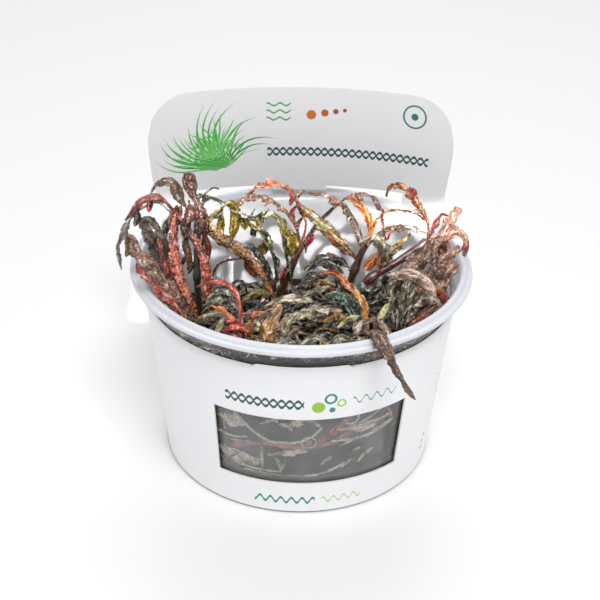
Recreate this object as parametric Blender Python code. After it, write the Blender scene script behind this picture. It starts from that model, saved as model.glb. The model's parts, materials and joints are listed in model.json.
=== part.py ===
"""Hygrophila pinnatifida grown in a clear tissue culture cup, with a white card sleeve around the cup.

The origin is the centre of the cup's flat base. +Z is up, and the sleeve's window faces -Y.
Sizes below are in millimetres, and are turned to metres where a mesh is made.
"""
import math

import bmesh
import bpy
import numpy as np
from mathutils import Matrix, Vector

MM = 0.001
GAP = 0.3

# Driving sizes of the cup
RIM_RADIUS = 50.0
CUP_HEIGHT = 62.3
BASE_OUTER_RADIUS = 39.55
WALL_SLOPE = 0.103
WALL = 1.0
FLOOR = 1.0
RIM_SKIRT = 2.4
RIDGE_STEP = 0.6
SEAT_DROP = 3.2
NECK_OUTER_RADIUS = 46.7
LIP_INNER_RADIUS = 45.8
BASE_BEVEL = 0.8
ROUND_SIDES = 44

# Driving sizes of the card sleeve
CARD = 0.5
SLEEVE_BOTTOM = 0.6
SLEEVE_TOP = 53.5
WINDOW_BOTTOM = 11.5
WINDOW_TOP = 35.8
WINDOW_HALF_ANGLE = 38.0
WINDOW_OFFSET_ANGLE = 4.1
CARD_TURN = 1.5
SIDE_BULGE_FOOT = 26.0
SIDE_BULGE_BACK = 12.0
SIDE_BULGE_FRONT = 78.0
HEADER_FOOT = 58.9
HEADER_TOP = 96.3
HEADER_CORNER = 13.0
HEADER_HALF_WIDTH = 48.3
HEADER_WAIST = 0.94
HEADER_CURVE_RADIUS = 110.0
HEADER_BACK = 43.6
HEADER_LEAN = 0.105
SLOT_HALF_WIDTH = 34.5
SLOT_TOP = 64.4
TONGUE_HALF_WIDTH = 8.8
TONGUE_BOTTOM = 62.9

# Driving sizes of what grows in the cup
MEDIUM_TOP = 12.4
BED_CENTRE = 47.0
BED_RADIUS = 40.5
BED_SHOULDER_DROP = 4.0
BED_WALL_GAP = 2.0
BED_SIDES = 32
STEM_SIDES = 8
STEM_STATIONS = 12
CHANNEL_GAP = 0.45
CHANNEL_FOOT = 3.0
LEAF_STATIONS = 12
LEAF_THICKNESS = 0.7
PETIOLE_WIDTH = 1.2

UP = (0.0, 0.0, 1.0)
FRONT = (0.0, -1.0, 0.25)
FRONT_UP = (0.0, -0.7, 0.7)
LEFT = (-1.0, 0.0, 0.3)
RIGHT = (1.0, 0.0, 0.3)

COLOURS = {
    "cup_plastic": ((0.86, 0.87, 0.9), 0.25),
    "sleeve_card": ((0.93, 0.93, 0.95), 0.55),
    "growth_medium": ((0.62, 0.58, 0.5), 0.2),
    "leaf_brown": ((0.16, 0.1, 0.08), 0.4),
    "leaf_red": ((0.45, 0.1, 0.09), 0.42),
    "leaf_orange": ((0.6, 0.22, 0.06), 0.42),
    "leaf_green": ((0.1, 0.14, 0.1), 0.32),
    "leaf_grey": ((0.26, 0.22, 0.19), 0.45),
    "stem_red": ((0.3, 0.05, 0.05), 0.35),
    "stem_dark": ((0.07, 0.05, 0.03), 0.4),
}

# A stem is its axis from the medium upward, and its radius at the foot and at the top.
STEMS = {
    "left_stem": ("stem_dark", 1.4, 1.0,
                  [(-26, -9, 13), (-28, -10, 30), (-29, -9, 45), (-30, -8, 58), (-30, -6, 78)]),
    "middle_stem": ("stem_dark", 1.7, 1.3,
                    [(-4, 5, 13), (-6, 7, 32), (-6, 8, 45), (-3, 11, 53), (0, 14, 60)]),
    "right_stem": ("stem_dark", 1.6, 1.3,
                   [(11, 5, 13), (13, 6, 32), (14, 7, 46), (17, 10, 56), (20, 12, 63)]),
    "red_stem": ("stem_red", 1.7, 1.3,
                 [(10, -9, 13), (11, -8, 30), (13, -4, 46), (19, -1, 55), (28, 2, 60.5), (37, 7, 65)]),
    "creeping_stem": ("stem_red", 1.1, 0.9,
                      [(-27, -19, 13.6), (-21, -29, 18), (-9, -36, 23.5), (2, -38, 23),
                       (12, -36, 25), (18, -33, 31), (20, -30, 40)]),
}

# A leaf is its stem (or bed), slot, widest width, lobes, face direction, turn of the face from
# base to tip in degrees, and its midrib from base to tip. A leaf on a stem starts at the stem's axis,
# and one on the bed starts at a place (x, y) on the bed's top.
LEAVES = {
    "left_leaf_1": ("left_stem", "leaf_brown", 5.0, 3, UP, (0, 0),
                    [(-30, -6.1, 77.3), (-34, -4, 82), (-36, -2, 86.5), (-39, -1, 87.5), (-42, 0, 85.5),
                     (-44, 1, 81)]),
    "left_leaf_2": ("left_stem", "leaf_red", 3.6, 3, UP, (20, 20),
                    [(-30, -7, 72), (-35, -9, 80), (-39, -9, 85), (-42, -9, 86), (-46, -9, 84),
                     (-50, -9, 78)]),
    "left_leaf_3": ("left_stem", "leaf_green", 3.0, 2, UP, (0, 60),
                    [(-30, -7, 69), (-36, -3, 76), (-41, -3, 81), (-45, -4, 80), (-49, -5, 77),
                     (-52, -5, 71),
                     (-53.5, -4, 65), (-52.5, -3, 58.5)]),
    "left_leaf_4": ("bed", "leaf_grey", 8.0, 4, FRONT_UP, (-25, -35),
                    [(-30, -20), (-34, -20, 58), (-38, -18, 63), (-42, -15, 67.5), (-46, -12, 71),
                     (-49, -9, 74)]),
    "left_leaf_5": ("bed", "leaf_grey", 7.0, 4, FRONT, (-20, -10),
                    [(-33, -3), (-37, -3, 58), (-40, -2, 64), (-41, -1, 70), (-44, 1, 74), (-47, 3, 74.5)]),
    "left_leaf_6": ("bed", "leaf_red", 3.6, 3, FRONT_UP, (-30, -40),
                    [(-31.5, -24.5), (-34, -23.5, 58), (-37.5, -22.8, 62), (-41, -22.3, 65.5),
                     (-44, -21, 68.5), (-46, -19, 72)]),
    "left_leaf_7": ("bed", "leaf_red", 4.2, 6, FRONT, (0, 0),
                    [(-28.5, -16), (-32, -16, 58), (-34.5, -14.5, 64), (-36, -13, 71), (-36, -12.5, 77),
                     (-35.5, -12, 82)]),
    "left_leaf_8": ("bed", "leaf_red", 4.4, 6, FRONT, (0, 0),
                    [(-26, -14.5), (-26, -14, 56), (-26.5, -13.5, 62), (-27.5, -13, 68),
                     (-29.5, -12, 73), (-31.5, -11, 77)]),
    "left_leaf_9": ("left_stem", "leaf_brown", 5.2, 3, FRONT, (0, 0),
                    [(-30, -7, 66), (-28, -3, 72), (-30, -1, 78), (-32, 0, 84), (-32.5, 0, 89)]),
    "left_leaf_10": ("bed", "leaf_orange", 5.2, 5, FRONT_UP, (15, 15),
                     [(-8, -6), (-11, -4, 56), (-14, -3, 61), (-17, -2, 65), (-21, -2, 68),
                      (-25, -3, 70.5), (-27.5, -4, 72)]),
    "left_leaf_11": ("left_stem", "leaf_green", 4.6, 3, UP, (-20, 0),
                     [(-30, -7, 72.5), (-27, -4.5, 75.5), (-25, 0, 79.5), (-22.5, 3, 80), (-20, 5, 75.5)]),
    "left_leaf_12": ("left_stem", "leaf_green", 4.6, 3, FRONT, (0, 0),
                     [(-30, -7.5, 62), (-26.5, -3, 67.5), (-24, 2, 73.5), (-22.8, 5, 71.5),
                      (-23.5, 5, 65)]),
    "middle_leaf_1": ("middle_stem", "leaf_brown", 4.4, 5, UP, (0, 0),
                      [(-0.5, 13.5, 59), (-2, 12, 67), (-6, 12, 72.5), (-11, 12, 76), (-15, 11, 77),
                       (-19, 10, 75), (-21, 9, 72)]),
    "middle_leaf_2": ("middle_stem", "leaf_orange", 3.6, 6, UP, (25, 0),
                      [(0, 14, 59.4), (1, 17, 65), (-2, 19, 71), (-5.5, 19, 75.5), (-9, 18, 77),
                       (-13, 17, 77), (-17, 16, 74.5)]),
    "middle_leaf_3": ("bed", "leaf_green", 4.2, 4, LEFT, (10, 30),
                      [(-2.8, 3.2), (-3.8, 5, 55), (-5.5, 7, 62), (-6.5, 8, 68), (-9, 8, 72),
                       (-11, 7, 71)]),
    "middle_leaf_4": ("bed", "leaf_green", 4.4, 4, LEFT, (-10, 20),
                      [(-6, -1), (-7.5, 2, 57), (-10, 4, 64), (-13, 5, 68.5), (-15.5, 5, 72),
                       (-14, 6, 75)]),
    "middle_leaf_5": ("bed", "leaf_brown", 3.8, 4, UP, (0, 0),
                      [(-9, -1.5), (-9.5, 0, 56), (-11.5, 1, 62), (-15, 2, 65), (-19, 2, 63.5)]),
    "middle_leaf_6": ("middle_stem", "leaf_brown", 5.4, 4, UP, (-20, 0),
                      [(0, 14, 58.5), (4, 19.5, 63), (9, 21, 68), (13, 20.5, 72), (17, 19, 74.5),
                       (21, 18, 73.5), (25, 17, 69)]),
    "middle_leaf_7": ("right_stem", "leaf_brown", 4.8, 5, FRONT_UP, (0, 0),
                      [(17, 10, 56), (13, 7, 62), (10, 6.5, 66), (6, 6.5, 70), (2, 7, 73.5), (-1, 8, 76)]),
    "middle_leaf_8": ("right_stem", "leaf_brown", 4.0, 4, UP, (0, 0),
                      [(18.3, 10.9, 59.5), (15.5, 13.7, 65.5), (13, 15.5, 71.5), (9, 15.5, 74.5),
                       (5, 14.5, 76.5), (1.5, 13, 77)]),
    "right_leaf_1": ("right_stem", "leaf_orange", 3.4, 5, FRONT, (0, 0),
                     [(20, 12, 63), (20, 12.5, 68), (18.5, 13, 71.5), (16, 13, 74), (13.5, 12, 76)]),
    "right_leaf_2": ("right_stem", "leaf_orange", 3.4, 6, UP, (30, 0),
                     [(20, 12, 63), (22, 10.5, 70), (24.5, 9.5, 73), (28, 8.5, 74.5), (32, 8.5, 74),
                      (36, 8.5, 71.5)]),
    "right_leaf_3": ("red_stem", "leaf_green", 5.4, 3, UP, (0, 0),
                     [(23, 0.3, 57.5), (23, 2.5, 63), (21.5, 4, 66.5), (19, 4, 67.5), (16.5, 3.5, 65)]),
    "right_leaf_4": ("right_stem", "leaf_grey", 4.0, 4, UP, (0, 0),
                     [(19, 11.3, 60.5), (22, 8, 66), (25, 6.5, 69.5), (29, 5.5, 71), (33, 4.5, 71),
                      (37, 3.5, 69.5)]),
    "right_leaf_5": ("red_stem", "leaf_green", 4.2, 3, UP, (10, 0),
                     [(25, 1, 58.8), (26, 5, 62.5), (29, 6, 65.5), (32, 7.5, 67.5)]),
    "right_leaf_6": ("red_stem", "leaf_orange", 3.4, 5, FRONT, (0, 0),
                     [(37, 7, 65), (37.5, 7.5, 71), (35, 7, 76), (32, 6, 80), (30.5, 5, 83),
                      (27.5, 4, 85.5), (24.5, 2.5, 85), (24, 1, 81.5)]),
    "right_leaf_7": ("red_stem", "leaf_red", 3.0, 3, UP, (0, 0),
                     [(37, 7, 65), (39.5, 10.5, 70), (41.5, 12.5, 71.5), (44, 13.5, 70)]),
    "right_leaf_8": ("red_stem", "leaf_grey", 5.0, 4, FRONT, (10, 10),
                     [(37, 7, 65), (41, 6.5, 68), (43.5, 7, 72), (45.5, 8, 76)]),
    "right_leaf_9": ("red_stem", "leaf_red", 3.2, 4, FRONT_UP, (0, 0),
                     [(36.5, 6.8, 64.8), (40, 2.5, 66), (43.5, 2.5, 70), (46.5, 3, 70.5), (48, 3.5, 67),
                      (47, 4, 63.5)]),
    "right_leaf_10": ("bed", "leaf_brown", 5.4, 5, FRONT_UP, (10, 20),
                      [(33, -8), (36, -7, 57), (39, -6, 62.5), (42, -4.5, 66.5), (45.5, -2.5, 69)]),
    "right_leaf_11": ("bed", "leaf_grey", 4.6, 4, FRONT_UP, (10, 10),
                      [(35, -14), (38, -13, 58), (41, -12, 64), (44.5, -11, 68)]),
    "right_leaf_12": ("bed", "leaf_grey", 5.4, 5, UP, (20, 0),
                      [(36.5, -19), (38, -18, 59), (36.5, -17, 64), (33, -16.5, 66.5), (29, -16, 67),
                       (24, -14.5, 65.5)]),
    "right_leaf_13": ("bed", "leaf_green", 7.0, 4, FRONT, (0, 0),
                      [(29, -22), (28.5, -20.5, 57), (28, -19.5, 61), (30, -18, 63.5)]),
    "right_leaf_14": ("bed", "leaf_green", 4.6, 4, UP, (0, 0),
                      [(36, -1), (35, -1, 55), (33, -2, 60), (30, -4, 62), (27, -6, 60)]),
    "front_leaf_1": ("bed", "leaf_grey", 6.4, 5, UP, (15, 15),
                     [(-6, -33), (-4, -28, 58), (0, -24.5, 59), (6, -22.5, 59), (12, -22, 58)]),
    "front_leaf_2": ("bed", "leaf_green", 4.6, 4, UP, (15, 15),
                     [(-11, -17), (-7, -15.5, 56), (-2, -14, 56.5), (3.5, -13, 55)]),
    "front_leaf_3": ("bed", "leaf_orange", 3.4, 6, FRONT_UP, (0, 0),
                     [(19, -26.5), (18, -23.5, 59.5), (16, -19, 61.5), (13, -15, 62.5), (10, -12, 64),
                      (5, -10, 63.5)]),
    "front_leaf_4": ("bed", "leaf_green", 5.4, 3, UP, (20, 20),
                     [(19, -17), (15, -15, 56.5), (11, -13, 58), (7, -12, 57)]),
    "front_leaf_5": ("bed", "leaf_green", 4.6, 3, UP, (10, 10),
                     [(14, -7), (11.5, -2, 57), (8, 2, 60), (3.5, 4.5, 58)]),
    "front_leaf_6": ("bed", "leaf_brown", 6.4, 4, UP, (10, 25),
                     [(19.5, -33.5), (20.5, -38, 61.5), (21.5, -43, 64), (23.5, -47.5, 62), (26.5, -50, 57),
                      (29, -50, 52), (31.5, -49, 47)]),
    "front_leaf_7": ("bed", "leaf_orange", 3.0, 4, UP, (20, 20),
                     [(-17.5, -31.5), (-18, -32.5, 60), (-20.5, -32, 62.5), (-24.5, -30, 63.5)]),
    "front_leaf_8": ("bed", "leaf_orange", 3.0, 4, UP, (20, 20),
                     [(-13.5, -33.5), (-13, -33.5, 61), (-10, -31.5, 62.5), (-6.5, -30, 63.5)]),
    "front_leaf_9": ("bed", "leaf_red", 3.2, 5, UP, (10, 10),
                     [(-15, -33), (-16, -35, 63), (-17, -32.5, 68), (-20.5, -29, 70.5),
                      (-25, -27.5, 69.5), (-28.5, -27, 67.5)]),
    "front_leaf_10": ("bed", "leaf_grey", 6.0, 5, FRONT_UP, (0, 0),
                      [(-6.5, -35), (-7.5, -36, 60), (-8, -34, 63), (-8, -30.5, 65)]),
}


def clear_objects():
    for old in list(bpy.data.objects):
        bpy.data.objects.remove(old, do_unlink=True)


def material(slot):
    """The Principled material of one slot, made once and shared by every piece of that slot."""
    found = bpy.data.materials.get(slot)
    if found:
        return found
    colour, roughness = COLOURS[slot]
    made = bpy.data.materials.new(slot)
    made.use_nodes = True
    shader = made.node_tree.nodes["Principled BSDF"]
    shader.inputs["Base Color"].default_value = (*colour, 1.0)
    shader.inputs["Roughness"].default_value = roughness
    shader.inputs["Metallic"].default_value = 0.0
    return made


def add_object(name, points, faces, slot, smooth=True):
    """One named object from points in millimetres and faces that may point in or out."""
    mesh = bpy.data.meshes.new(name)
    mesh.from_pydata([tuple(c * MM for c in p) for p in points], [], faces)
    work = bmesh.new()
    work.from_mesh(mesh)
    bmesh.ops.recalc_face_normals(work, faces=work.faces)
    work.to_mesh(mesh)
    work.free()
    mesh.materials.append(material(slot))
    if smooth:
        mesh.shade_smooth()
    piece = bpy.data.objects.new(name, mesh)
    bpy.context.scene.collection.objects.link(piece)
    return piece


def turned(name, profile, sides, slot):
    """A closed solid turned about the Z axis from a profile of (radius, height) that starts and ends on it."""
    points = []
    rings = []
    for radius, height in profile:
        if radius == 0.0:
            rings.append([len(points)] * sides)
            points.append((0.0, 0.0, height))
            continue
        rings.append(list(range(len(points), len(points) + sides)))
        for side in range(sides):
            angle = 2.0 * math.pi * side / sides
            points.append((radius * math.cos(angle), radius * math.sin(angle), height))
    faces = []
    for lower, upper in zip(rings, rings[1:]):
        for side in range(sides):
            after = (side + 1) % sides
            corners = [lower[side], lower[after], upper[after], upper[side]]
            faces.append(tuple(dict.fromkeys(corners)))
    return add_object(name, points, faces, slot)


def outer_wall(height):
    return BASE_OUTER_RADIUS + WALL_SLOPE * height


def inner_wall(height):
    return outer_wall(height) - WALL


def make_cup():
    """A thin tapered cup whose wall steps out to a lid seat under a flange with two low ridges."""
    top = CUP_HEIGHT
    seat = top - SEAT_DROP
    skirt_foot = top - RIM_SKIRT
    step = RIDGE_STEP
    profile = [
        (0.0, 0.0),
        (BASE_OUTER_RADIUS - BASE_BEVEL, 0.0),
        (outer_wall(BASE_BEVEL), BASE_BEVEL),
        (outer_wall(seat - 1.6), seat - 1.6),
        (NECK_OUTER_RADIUS, seat),
        (NECK_OUTER_RADIUS + 0.4, top - 1.6),
        (RIM_RADIUS - 0.8, top - 1.4),
        (RIM_RADIUS - 0.7, skirt_foot),
        (RIM_RADIUS, skirt_foot),
        (RIM_RADIUS, top - step - 0.1),
        (RIM_RADIUS - step, top - 0.1),
        (RIM_RADIUS - 2.0 * step, top - 0.2),
        (RIM_RADIUS - 3.0 * step, top - 0.6),
        (RIM_RADIUS - 4.3 * step, top - 0.1),
        (RIM_RADIUS - 5.3 * step, top),
        (RIM_RADIUS - 6.2 * step, top - 0.5),
        (LIP_INNER_RADIUS, seat + 0.3),
        (inner_wall(seat - 0.6), seat - 0.6),
        (inner_wall(FLOOR + 1.0), FLOOR + 1.0),
        (inner_wall(FLOOR) - 0.9, FLOOR),
        (0.0, FLOOR),
    ]
    return turned("cup", profile, ROUND_SIDES, "cup_plastic")


def make_medium():
    """The clear growth medium: a low disc that fills the foot of the cup and creeps up its wall a little."""
    foot = FLOOR + GAP
    profile = [
        (0.0, foot),
        (inner_wall(foot) - 1.6, foot),
        (inner_wall(foot + 1.2) - GAP, foot + 1.2),
        (inner_wall(MEDIUM_TOP + 0.6) - GAP, MEDIUM_TOP + 0.6),
        (inner_wall(MEDIUM_TOP) - 2.0, MEDIUM_TOP),
        (0.0, MEDIUM_TOP),
    ]
    return turned("growth_medium", profile, ROUND_SIDES, "growth_medium")


def ease(value, start, end):
    """A smooth step from 0 at start to 1 at end."""
    t = min(max((value - start) / (end - start), 0.0), 1.0)
    return t * t * (3.0 - 2.0 * t)


def card_point(along, height):
    """A point of the card's inner face: the arc length from the card's back centre, and the height."""
    radius = outer_wall(height) + GAP
    angle = along / (outer_wall(SLEEVE_TOP) + GAP)
    round_x = radius * math.sin(angle)
    round_y = radius * math.cos(angle)
    waist = HEADER_WAIST + (1.0 - HEADER_WAIST) * ease(height, SLEEVE_TOP, HEADER_TOP - HEADER_CORNER)
    turn = along * waist / HEADER_CURVE_RADIUS
    flat_x = HEADER_CURVE_RADIUS * math.sin(turn)
    flat_y = HEADER_BACK + HEADER_LEAN * (height - CUP_HEIGHT) - HEADER_CURVE_RADIUS * (1.0 - math.cos(turn))
    side = abs(along)
    share = ease(height, SIDE_BULGE_FOOT, HEADER_FOOT)
    if height <= SLEEVE_TOP:
        share *= ease(side, SIDE_BULGE_BACK, SLOT_HALF_WIDTH)
        share *= 1.0 - ease(side, HEADER_HALF_WIDTH, SIDE_BULGE_FRONT)
    return (round_x + (flat_x - round_x) * share, round_y + (flat_y - round_y) * share, height)


def header_top(along):
    """The header's upper edge: level, with a round corner at each side."""
    past = max(abs(along) - (HEADER_HALF_WIDTH - HEADER_CORNER), 0.0)
    drop = HEADER_CORNER - math.sqrt(max(HEADER_CORNER ** 2 - past ** 2, 0.0))
    return HEADER_TOP - drop


def make_sleeve():
    """One card: a band around the cup with a window in front, and a header that stands up behind the rim."""
    half_turn = math.pi * (outer_wall(SLEEVE_TOP) + GAP)
    degree = half_turn / 180.0
    window_start = half_turn - (WINDOW_HALF_ANGLE + WINDOW_OFFSET_ANGLE) * degree
    window_end = half_turn + (WINDOW_HALF_ANGLE - WINDOW_OFFSET_ANGLE) * degree
    corner = HEADER_HALF_WIDTH - HEADER_CORNER
    half = [0.0, TONGUE_HALF_WIDTH, 17.0, 26.0, SLOT_HALF_WIDTH, SLOT_HALF_WIDTH + 3.5,
            corner + 7.5, corner + 10.5, HEADER_HALF_WIDTH]
    header_columns = [-s for s in reversed(half[1:])] + half
    side_columns = list(np.linspace(HEADER_HALF_WIDTH, window_start, 9)[1:])
    window_columns = list(np.linspace(window_start, window_end, 13)[1:])
    far_columns = list(np.linspace(window_end, 2.0 * half_turn - HEADER_HALF_WIDTH, 9)[1:-1])
    columns = header_columns + side_columns + window_columns + far_columns
    band_rows = [SLEEVE_BOTTOM, WINDOW_BOTTOM, 24.0, WINDOW_TOP, 45.0, SLEEVE_TOP]
    header_rows = [SLEEVE_TOP + 3.4, 60.0, TONGUE_BOTTOM, SLOT_TOP, 72.0, 80.0, 88.0, HEADER_TOP]
    rows = band_rows + header_rows
    points = []
    index = {}

    def vertex(column, row):
        key = (column % len(columns), row)
        if key not in index:
            along = columns[key[0]]
            height = rows[row]
            if height > SLOT_TOP:
                share = (height - SLOT_TOP) / (HEADER_TOP - SLOT_TOP)
                height = SLOT_TOP + (header_top(along) - SLOT_TOP) * share
            if along > half_turn:
                along -= 2.0 * half_turn
            index[key] = len(points)
            points.append(card_point(along, height))
        return index[key]

    faces = []
    for column, along in enumerate(columns):
        after = columns[(column + 1) % len(columns)]
        middle = (along + after) / 2.0
        in_header = column < len(header_columns) - 1
        for row in range(len(rows) - 1):
            centre = (rows[row] + rows[row + 1]) / 2.0
            if centre < SLEEVE_TOP:
                cut = WINDOW_BOTTOM < centre < WINDOW_TOP and window_start < middle < window_end
            elif not in_header:
                cut = True
            elif centre < SLOT_TOP:
                tongue = centre > TONGUE_BOTTOM and abs(middle) < TONGUE_HALF_WIDTH
                cut = abs(middle) < SLOT_HALF_WIDTH and not tongue
            else:
                cut = False
            if not cut:
                corners = (vertex(column, row), vertex(column + 1, row),
                           vertex(column + 1, row + 1), vertex(column, row + 1))
                faces.append(corners)
    card = add_object("sleeve", points, faces, "sleeve_card")
    card.rotation_euler = (0.0, 0.0, math.radians(CARD_TURN))
    thick = card.modifiers.new("card", "SOLIDIFY")
    thick.thickness = CARD * MM
    thick.offset = 1.0
    thick.use_even_offset = True
    return card


def bed_height(x, y):
    """The top of the leaf tangle: high at the front wall, low at the back, with lumps."""
    fall = 0.31 * y + 0.1 * math.hypot(y, 8.0)
    lumps = 0.7 * math.sin(0.29 * x + 0.7) * math.cos(0.25 * y) + 0.5 * math.sin(0.17 * x - 0.3 * y)
    return BED_CENTRE - fall + lumps


def make_bed():
    """The tangle of small leaves and shoots between the stems, as one lumpy body on the medium."""
    foot = MEDIUM_TOP + GAP
    heights = [foot, 19.0, 26.0]
    shares = [0.94, 0.8, 0.62, 0.42, 0.2]
    points = [(0.0, 0.0, foot)]
    rings = []
    for height in heights:
        rings.append([])
        for side in range(BED_SIDES):
            angle = 2.0 * math.pi * side / BED_SIDES
            reach = inner_wall(height) - BED_WALL_GAP + 0.5 * math.sin(5.0 * angle + height)
            rings[-1].append(len(points))
            points.append((reach * math.cos(angle), reach * math.sin(angle), height))
    shoulder = []
    for side in range(BED_SIDES):
        angle = 2.0 * math.pi * side / BED_SIDES
        drop = bed_height(BED_RADIUS * math.cos(angle), BED_RADIUS * math.sin(angle)) - BED_SHOULDER_DROP
        reach = min(inner_wall(drop) - BED_WALL_GAP, BED_RADIUS + 1.0)
        shoulder.append(len(points))
        points.append((reach * math.cos(angle), reach * math.sin(angle), drop))
    rings.append(shoulder)
    for share in shares:
        rings.append([])
        for side in range(BED_SIDES):
            angle = 2.0 * math.pi * side / BED_SIDES
            x = BED_RADIUS * share * math.cos(angle)
            y = BED_RADIUS * share * math.sin(angle)
            rings[-1].append(len(points))
            points.append((x, y, bed_height(x, y)))
    top = len(points)
    points.append((0.0, 0.0, bed_height(0.0, 0.0)))
    faces = []
    for side in range(BED_SIDES):
        after = (side + 1) % BED_SIDES
        faces.append((0, rings[0][after], rings[0][side]))
        faces.append((top, rings[-1][side], rings[-1][after]))
        for lower, upper in zip(rings, rings[1:]):
            faces.append((lower[side], lower[after], upper[after], upper[side]))
    return add_object("leaf_bed", points, faces, "leaf_green")


def smooth_path(route, count):
    """Evenly spaced points on a Catmull-Rom curve through the route's points."""
    route = np.array(route, dtype=float)
    padded = np.vstack([2.0 * route[0] - route[1], route, 2.0 * route[-1] - route[-2]])
    fine = []
    for step in range(len(route) - 1):
        a, b, c, d = padded[step:step + 4]
        for t in np.linspace(0.0, 1.0, 16, endpoint=False):
            fine.append(0.5 * (2.0 * b + (c - a) * t + (2.0 * a - 5.0 * b + 4.0 * c - d) * t ** 2
                               + (3.0 * b - a - 3.0 * c + d) * t ** 3))
    fine.append(route[-1])
    fine = np.array(fine)
    reach = np.concatenate([[0.0], np.cumsum(np.linalg.norm(np.diff(fine, axis=0), axis=1))])
    wanted = np.linspace(0.0, reach[-1], count)
    return np.stack([np.interp(wanted, reach, fine[:, axis]) for axis in range(3)], axis=1)


def unit(vector):
    return vector / max(np.linalg.norm(vector), 1e-9)


def path_frames(path, face, turn):
    """For each point of the path, the direction across it and the direction that its face looks to."""
    tangents = np.gradient(path, axis=0)
    frames = []
    across = None
    for step, tangent in enumerate(tangents):
        tangent = unit(tangent)
        side = np.cross(tangent, np.array(face))
        if np.linalg.norm(side) < 0.35 and across is not None:
            side = across - tangent * np.dot(across, tangent)
        side = unit(side)
        if across is not None and np.dot(side, across) < 0.0:
            side = -side
        across = side
        normal = np.cross(side, tangent)
        angle = math.radians(turn[0] + (turn[1] - turn[0]) * step / (len(path) - 1))
        frames.append((side * math.cos(angle) + normal * math.sin(angle),
                       normal * math.cos(angle) - side * math.sin(angle)))
    return frames


def tube(name, path, radii, slot):
    """A closed tube with flat ends along a path, with a radius at each of its points."""
    points = []
    for centre, radius, (across, normal) in zip(path, radii, path_frames(path, RIGHT, (0, 0))):
        for side in range(STEM_SIDES):
            angle = 2.0 * math.pi * side / STEM_SIDES
            points.append(centre + across * radius * math.cos(angle) + normal * radius * math.sin(angle))
    faces = [tuple(range(STEM_SIDES)), tuple(range(len(points) - STEM_SIDES, len(points)))]
    for step in range(len(path) - 1):
        for side in range(STEM_SIDES):
            after = (side + 1) % STEM_SIDES
            low = step * STEM_SIDES
            high = low + STEM_SIDES
            faces.append((low + side, low + after, high + after, high + side))
    return add_object(name, points, faces, slot)


def stem_radius_near(name, point):
    """The radius of a stem where its axis passes closest to a point."""
    _, foot_radius, top_radius, route = STEMS[name]
    path = smooth_path(route, 40)
    nearest = int(np.argmin(np.linalg.norm(path - np.array(point), axis=1)))
    return foot_radius + (top_radius - foot_radius) * nearest / 39.0


def leaf_half_width(share, width, lobes):
    """Half the width at a share of the length: a stalk, then a blade with alternating lobes and notches."""
    stalk = 0.16
    if share < stalk:
        return PETIOLE_WIDTH / 2.0
    blade = (share - stalk) / (1.0 - stalk)
    outline = math.sin(math.pi * blade ** 0.75) ** 0.6 if blade < 1.0 else 0.0
    notch = 1.0 - 0.28 * (0.5 - 0.5 * math.cos(2.0 * math.pi * lobes * blade))
    return max(PETIOLE_WIDTH / 2.0, width / 2.0 * outline * notch)


def make_leaf(name, holder, slot, width, lobes, face, turn, route):
    """A pinnate leaf: a stalk and a lobed blade, ridged along the midrib, along a smooth route."""
    start = 0.0
    if holder in STEMS:
        start = stem_radius_near(holder, route[0]) + GAP + LEAF_THICKNESS / 2.0
    else:
        foot_x, foot_y = route[0]
        foot_height = bed_height(foot_x, foot_y) + GAP + LEAF_THICKNESS / 2.0
        route = [(foot_x, foot_y, foot_height)] + route[1:]
    path = smooth_path(route, 60)
    reach = np.concatenate([[0.0], np.cumsum(np.linalg.norm(np.diff(path, axis=0), axis=1))])
    wanted = np.linspace(start, reach[-1], LEAF_STATIONS + 1)
    path = np.stack([np.interp(wanted, reach, path[:, axis]) for axis in range(3)], axis=1)
    frames = path_frames(path, face, turn)
    rise = LEAF_THICKNESS / 2.0
    points = []
    for step in range(LEAF_STATIONS):
        across, normal = frames[step]
        half = leaf_half_width(step / LEAF_STATIONS, width, lobes)
        centre = path[step]
        points += [centre + across * half, centre + normal * rise]
        points += [centre - across * half, centre - normal * rise]
    tip = len(points)
    points.append(path[-1])
    faces = [(0, 1, 2, 3)]
    for step in range(LEAF_STATIONS - 1):
        low = step * 4
        for side in range(4):
            after = (side + 1) % 4
            faces.append((low + side, low + after, low + 4 + after, low + 4 + side))
    for side in range(4):
        faces.append((tip - 4 + side, tip - 4 + (side + 1) % 4, tip))
    return add_object(name, points, faces, slot)


def make_stems(bed):
    """The stems, and for each one a channel through the bed that keeps the gap around it."""
    for name, (slot, foot_radius, top_radius, route) in STEMS.items():
        path = smooth_path(route, STEM_STATIONS)
        radii = np.linspace(foot_radius, top_radius, STEM_STATIONS)
        tube(name, path, radii, slot)
        below = path[0] + unit(path[0] - path[1]) * CHANNEL_FOOT
        above = path[-1] + unit(path[-1] - path[-2]) * CHANNEL_GAP
        channel = np.vstack([below, path, above])
        cutter = tube(name + "_channel", channel, np.pad(radii, 1, mode="edge") + CHANNEL_GAP, slot)
        cutter.hide_render = True
        cutter.display_type = "WIRE"
        cut = bed.modifiers.new(name, "BOOLEAN")
        cut.operation = "DIFFERENCE"
        cut.solver = "EXACT"
        cut.object = cutter


def build():
    clear_objects()
    make_cup()
    make_sleeve()
    make_medium()
    bed = make_bed()
    make_stems(bed)
    for name, details in LEAVES.items():
        make_leaf(name, *details)


build()
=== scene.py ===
import functools
import math

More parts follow.
